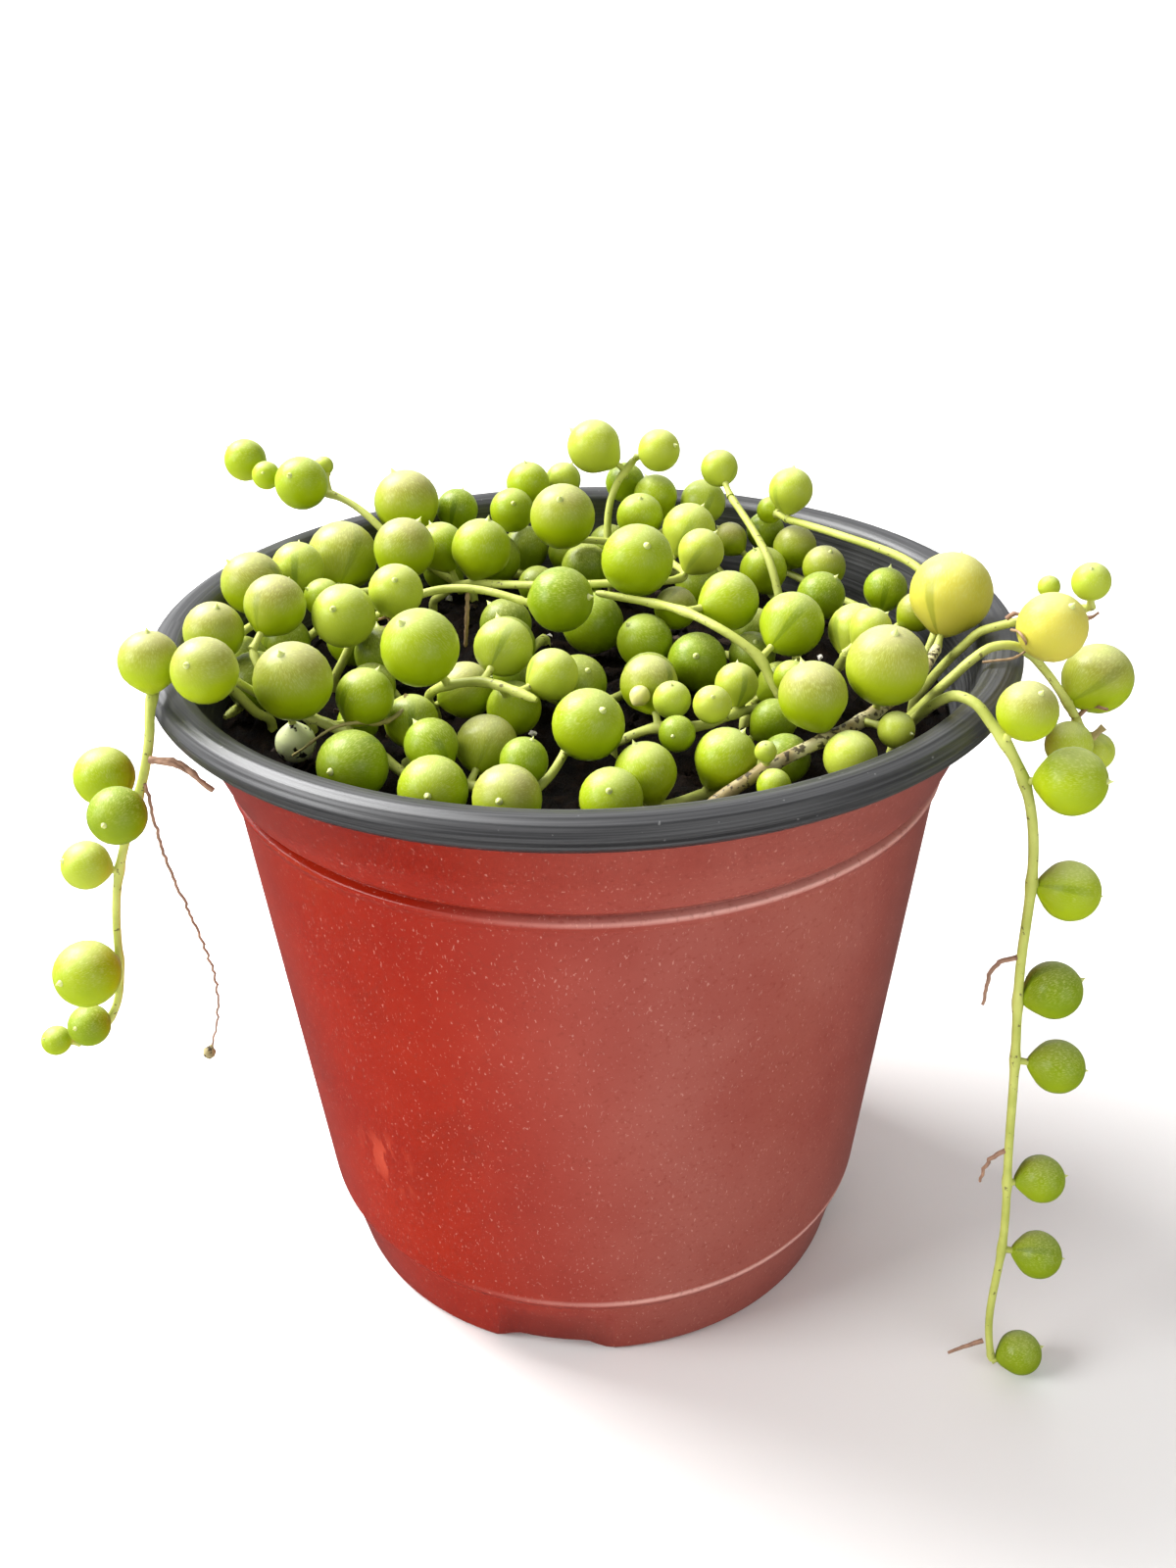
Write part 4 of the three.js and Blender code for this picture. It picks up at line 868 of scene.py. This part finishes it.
# One string: tubes along its edges, as thick as "girth" says, and a pearl on each loose point.
string, add, given = node_group("string_of_pearls", {
    "Stem Sides": "NodeSocketInt", "Pearl Segments": "NodeSocketInt", "Pearl Rings": "NodeSocketInt",
    "Point": "NodeSocketFloat", "Drop": "NodeSocketFloat", "Leaf Skin": "NodeSocketMaterial",
    "Stem Skin": "NodeSocketMaterial"})
size = add("InputNamedAttribute", {"Name": "pearl_radius"})
leafy = add("Math", [size, 1e-5], operation="GREATER_THAN")
sorted_out = add("SeparateGeometry", {"Geometry": given["Geometry"], "Selection": leafy})
lines_of = add("MeshToCurve", {"Mesh": sorted_out.outputs["Inverted"]})
girth = add("InputNamedAttribute", {"Name": "girth"})
section = add("CurvePrimitiveCircle", {"Resolution": given["Stem Sides"], "Radius": 1.0})
tubes = add("CurveToMesh", {
    "Curve": lines_of, "Profile Curve": section, "Scale": girth, "Fill Caps": True})
barked = add("SetMaterial", {"Geometry": tubes, "Material": given["Stem Skin"]})
bead = add("MeshUVSphere", {
    "Segments": given["Pearl Segments"], "Rings": given["Pearl Rings"], "Radius": 1.0})
mapped = add("StoreNamedAttribute", {
    "Geometry": bead, "Name": "UVMap", "Value": bead.outputs["UV Map"]},
    data_type="FLOAT2", domain="CORNER")
at = add("InputPosition")
axis = add("SeparateXYZ", [at])
# The end at the stalk is drawn out, as a drop's is.
low_end = add("MapRange", [axis.outputs["Z"], -0.55, -1.0], interpolation_type="SMOOTHSTEP")
reach = add("Math", [low_end, given["Drop"]], operation="MULTIPLY")
slim = add("Math", [low_end, -0.3], operation="MULTIPLY")
drawn = [add("Math", pair, operation="MULTIPLY")
         for pair in ([slim, axis], [slim, axis.outputs["Y"]], [reach, -1.0])]
offset = add("CombineXYZ", drawn)
drop = add("SetPosition", {"Geometry": mapped, "Offset": offset})
# At the other end stands a thorn with a wide, hollowed foot. Its tone is the pale one of the tip.
cone = add("MeshCone", {
    "Vertices": 8, "Side Segments": 4, "Radius Bottom": 0.12, "Radius Top": 0.0, "Depth": given["Point"]},
    fill_type="NONE")
up_thorn = add("MapRange", [axis.outputs["Z"], 0.0, given["Point"], 1.0, 0.45])
thorn_x, thorn_y = (add("Math", [up_thorn, axis.outputs[side]], operation="MULTIPLY")
                    for side in "XY")
thorn_z = add("Math", [0.98, axis.outputs["Z"]], operation="ADD")
hollowed = add("CombineXYZ", [thorn_x, thorn_y, thorn_z])
thorn = add("SetPosition", {"Geometry": cone, "Position": hollowed})
paling = add("MapRange", [axis.outputs["Z"], 0.98, 1.06, 0.98, 1.0])
beside = add("CombineXYZ", [0.25, paling])
toned = add("StoreNamedAttribute", {
    "Geometry": thorn, "Name": "UVMap", "Value": beside}, data_type="FLOAT2", domain="CORNER")
leaf = add("JoinGeometry")
for part in (drop, toned):
    feed(leaf, [part])
turn_of = add("InputNamedAttribute", {"Name": "turn"}, data_type="FLOAT_VECTOR")
turned = add("EulerToRotation", [turn_of])
hung = add("InstanceOnPoints", {
    "Points": sorted_out, "Instance": leaf, "Rotation": turned, "Scale": size})
real = add("RealizeInstances", {"Geometry": hung})
skinned = add("SetMaterial", {"Geometry": real, "Material": given["Leaf Skin"]})
whole = add("JoinGeometry")
for part in (skinned, barked):
    feed(whole, [part])
smooth = add("SetShadeSmooth", {"Geometry": whole})
add("GroupOutput", [smooth])

# Tone, blush and how far the leaf has faded.
TONES = {"g": (0.1, 0, 0), "m": (0.33, 0.1, 0), "l": (0.48, 0, 0.05), "o": (0.4, 1, 0),
         "y": (0.92, 0.2, 0), "p": (0.35, 0, 0.75)}
draw = seeded_draws(5)

# What has dried on a string: the points that it runs through, its radius at the start and the end, and how
# brown it has become.
DRIED = {
    "left_trailing": [([(-44.8, -27, 80.6), (-42.3, -27.1, 80.4), (-40.7, -27.5, 79.6),
        (-39.6, -28.1, 78.6), (-38.3, -28.5, 77.7)], 0.42, 0.3, 1)],
    "right_short": [([(42.5, -17.3, 85.3), (43.7, -17.6, 85.6), (45.5, -17.8, 85.9), (46.8, -17.5, 86.5),
        (45.9, -19.9, 88.9), (45.5, -19.1, 89.4), (45.3, -16.9, 88.8)], 0.13, 0.16, 0.9),
        ([(55.8, -15.2, 73.8), (56.4, -15.5, 75.4), (57.3, -15.5, 76.4)], 0.2, 0.55, 0.7)],
    "right_shoot": [([(46.3, -11.5, 87.9), (46.9, -11.9, 88.6), (47.6, -12.3, 88.6)], 0.3, 0.2, 1),
        ([(53.6, -14.8, 89.1), (54.2, -15.3, 89.4), (54.8, -15.5, 90)], 0.28, 0.14, 1)],
    "low_middle_left": [([(-25.2, -1.6, 80.9), (-25.5, -3.5, 79.6), (-26.6, -4.5, 78.7),
        (-27.1, -5.4, 78.1), (-27.2, -7, 76.2)], 0.3, 0.22, 0.8)],
    "front_row_left": [([(-19.1, -17.2, 82.6), (-20.6, -16.7, 80.4), (-21.7, -16.1, 77.3)], 0.42, 0.32,
        0.75), ([(-19.4, -19, 81.9), (-20.6, -19.9, 81.3), (-22, -21, 81.3), (-23.9, -22.3, 82.1),
        (-26.1, -23.3, 82.1), (-27.9, -23.2, 81), (-29.8, -22.5, 79.3), (-31.2, -21.8, 78.1)], 0.3, 0.12,
        0.55)],
    "across_left": [([(-13.7, 4.6, 86.1), (-13.9, 3.6, 83.2), (-14.2, 2.9, 79.7)], 0.28, 0.22, 0.9),
        ([(-24, 0.3, 84.5), (-23, 0.4, 84.7), (-22.6, -0.3, 84.2), (-23.5, -0.8, 83.7)], 0.12, 0.24, 1)],
}
BUD = {"on": "young_tip", "at": (5.8, -20.1, 83.5), "radius": 1.1}


class Outline:
    """The points and edges that a string's tubes and pearls are made on."""

    def __init__(self):
        self.points, self.edges = [], []
        self.marks = {name: [] for name in ("girth", "pearl_radius", "tone", "blush", "pale", "clear",
                                            "cork", "dry", "turn")}

    def add(self, at, **marks):
        self.points.append(Vector(at) * MM)
        for name, values in self.marks.items():
            values.append(marks.get(name, (0, 0, 0) if name == "turn" else 0.0))
        return len(self.points) - 1

    def line(self, path, girths, **marks):
        ids = [self.add(at, girth=girth * MM, **marks) for at, girth in zip(path, girths)]
        self.edges.extend(zip(ids, ids[1:]))

    def mesh(self, name):
        made = bpy.data.meshes.new(name)
        made.from_pydata(self.points, self.edges, [])
        for mark, values in self.marks.items():
            kind, field = ("FLOAT_VECTOR", "vector") if mark == "turn" else ("FLOAT", "value")
            layer = made.attributes.new(mark, kind, "POINT")
            layer.data.foreach_set(field, np.array(values, float).ravel())
        return made


def window_up(axis, twist):
    """The turn that points a pearl along its axis, with its window this far from straight up."""
    z = Vector(axis).normalized()
    x = (z * z.z - Vector((0, 0, 1))).normalized()
    x.rotate(Matrix.Rotation(twist, 3, z))
    return Matrix((x, z.cross(x), z)).transposed().to_euler()


for plant in plants:
    first, count = plant["first_ball"], len(plant["stem"])
    x, y, z = plant["foot"]
    deep_end = FOOT_BALL_LIFT + ROOT_DEPTH
    path = evenly([(x, y, z - deep_end), (x, y, z - deep_end / 2), *place[first:first + count]],
                  STEM_STEP, 8)
    outline = Outline()
    nodes = place[node_of[plant["first_pearl"]:plant["first_pearl"] + len(plant["sizes"])]]
    near = np.array([min(np.linalg.norm(nodes - spot, axis=1)) for spot in path])
    girths = plant["radius"] * (1 + NODE_SWELL * np.exp(-(near / NODE_LENGTH) ** 2))
    girths *= np.linspace(1.05, 0.8, len(girths))
    girths[-1] *= 0.6
    outline.line(path, girths, cork=1.0 if plant.get("old") else 0.0)
    tones = plant.get("tones", "")
    for i, (node, size) in enumerate(zip(nodes, plant["sizes"])):
        centre = place[plant["first_pearl"] + i]
        axis = (centre - node) / np.linalg.norm(centre - node)
        base = centre - axis * size * STALK_END
        outline.line([node + (base - node) * share for share in STALK_POINTS], STALK_GIRTHS)
        tone, blush, pale = TONES[tones[i]] if tones else (0.02 + 0.14 * next(draw), 0.35, 0)
        twist = TWIST * (next(draw) - 0.5)
        outline.add(centre, pearl_radius=size * MM, turn=window_up(axis, twist), blush=blush, pale=pale,
                    tone=tone + 0.08 * (next(draw) - 0.5), clear=0.3 + 0.7 * next(draw))
    for root in plant.get("hair_roots", []):
        thread = evenly(root, 0.5, 6)
        sway = THREAD_SWAY * np.minimum(1, np.arange(len(thread)) / 3)
        thread[:, 0] += sway * [2 * next(draw) - 1 for _ in thread]
        girths = np.linspace(*ROOT_GIRTHS, len(thread)) * (1 if len(root) > 4 else SHORT_ROOT)
        if len(root) > 4:  # a clod of peat hangs at the end of the long one
            girths[-4:] = 0.35, 0.75, 0.7, 0.3
            outline.line(thread[-5:], girths[-5:], cork=1.0)
            thread, girths = thread[:-4], girths[:-4]
        outline.line(thread, girths, dry=1.0)
    for route, start, end, brown in DRIED.get(plant["name"], []):
        bit = evenly(route, 0.4, 6)
        uneven = [1 + 0.5 * (next(draw) - 0.5) for _ in bit]
        outline.line(bit, np.linspace(start, end, len(bit)) * uneven, dry=brown)
    if plant["name"] == BUD["on"]:
        outline.add(BUD["at"], pearl_radius=BUD["radius"] * MM, turn=window_up((1, 1, 1), 1.5), tone=1.0,
                    pale=0.35)
    piece = put("strand_" + plant["name"], outline.mesh(plant["name"]))
    run_group(piece, string, {
        "Stem Sides": STEM_SIDES, "Pearl Segments": PEARL_SEGMENTS, "Pearl Rings": PEARL_RINGS,
        "Point": POINT, "Drop": DROP, "Leaf Skin": leaf_skin, "Stem Skin": stem_skin})
    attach(piece, "root")
    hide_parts("string_" + plant["name"])
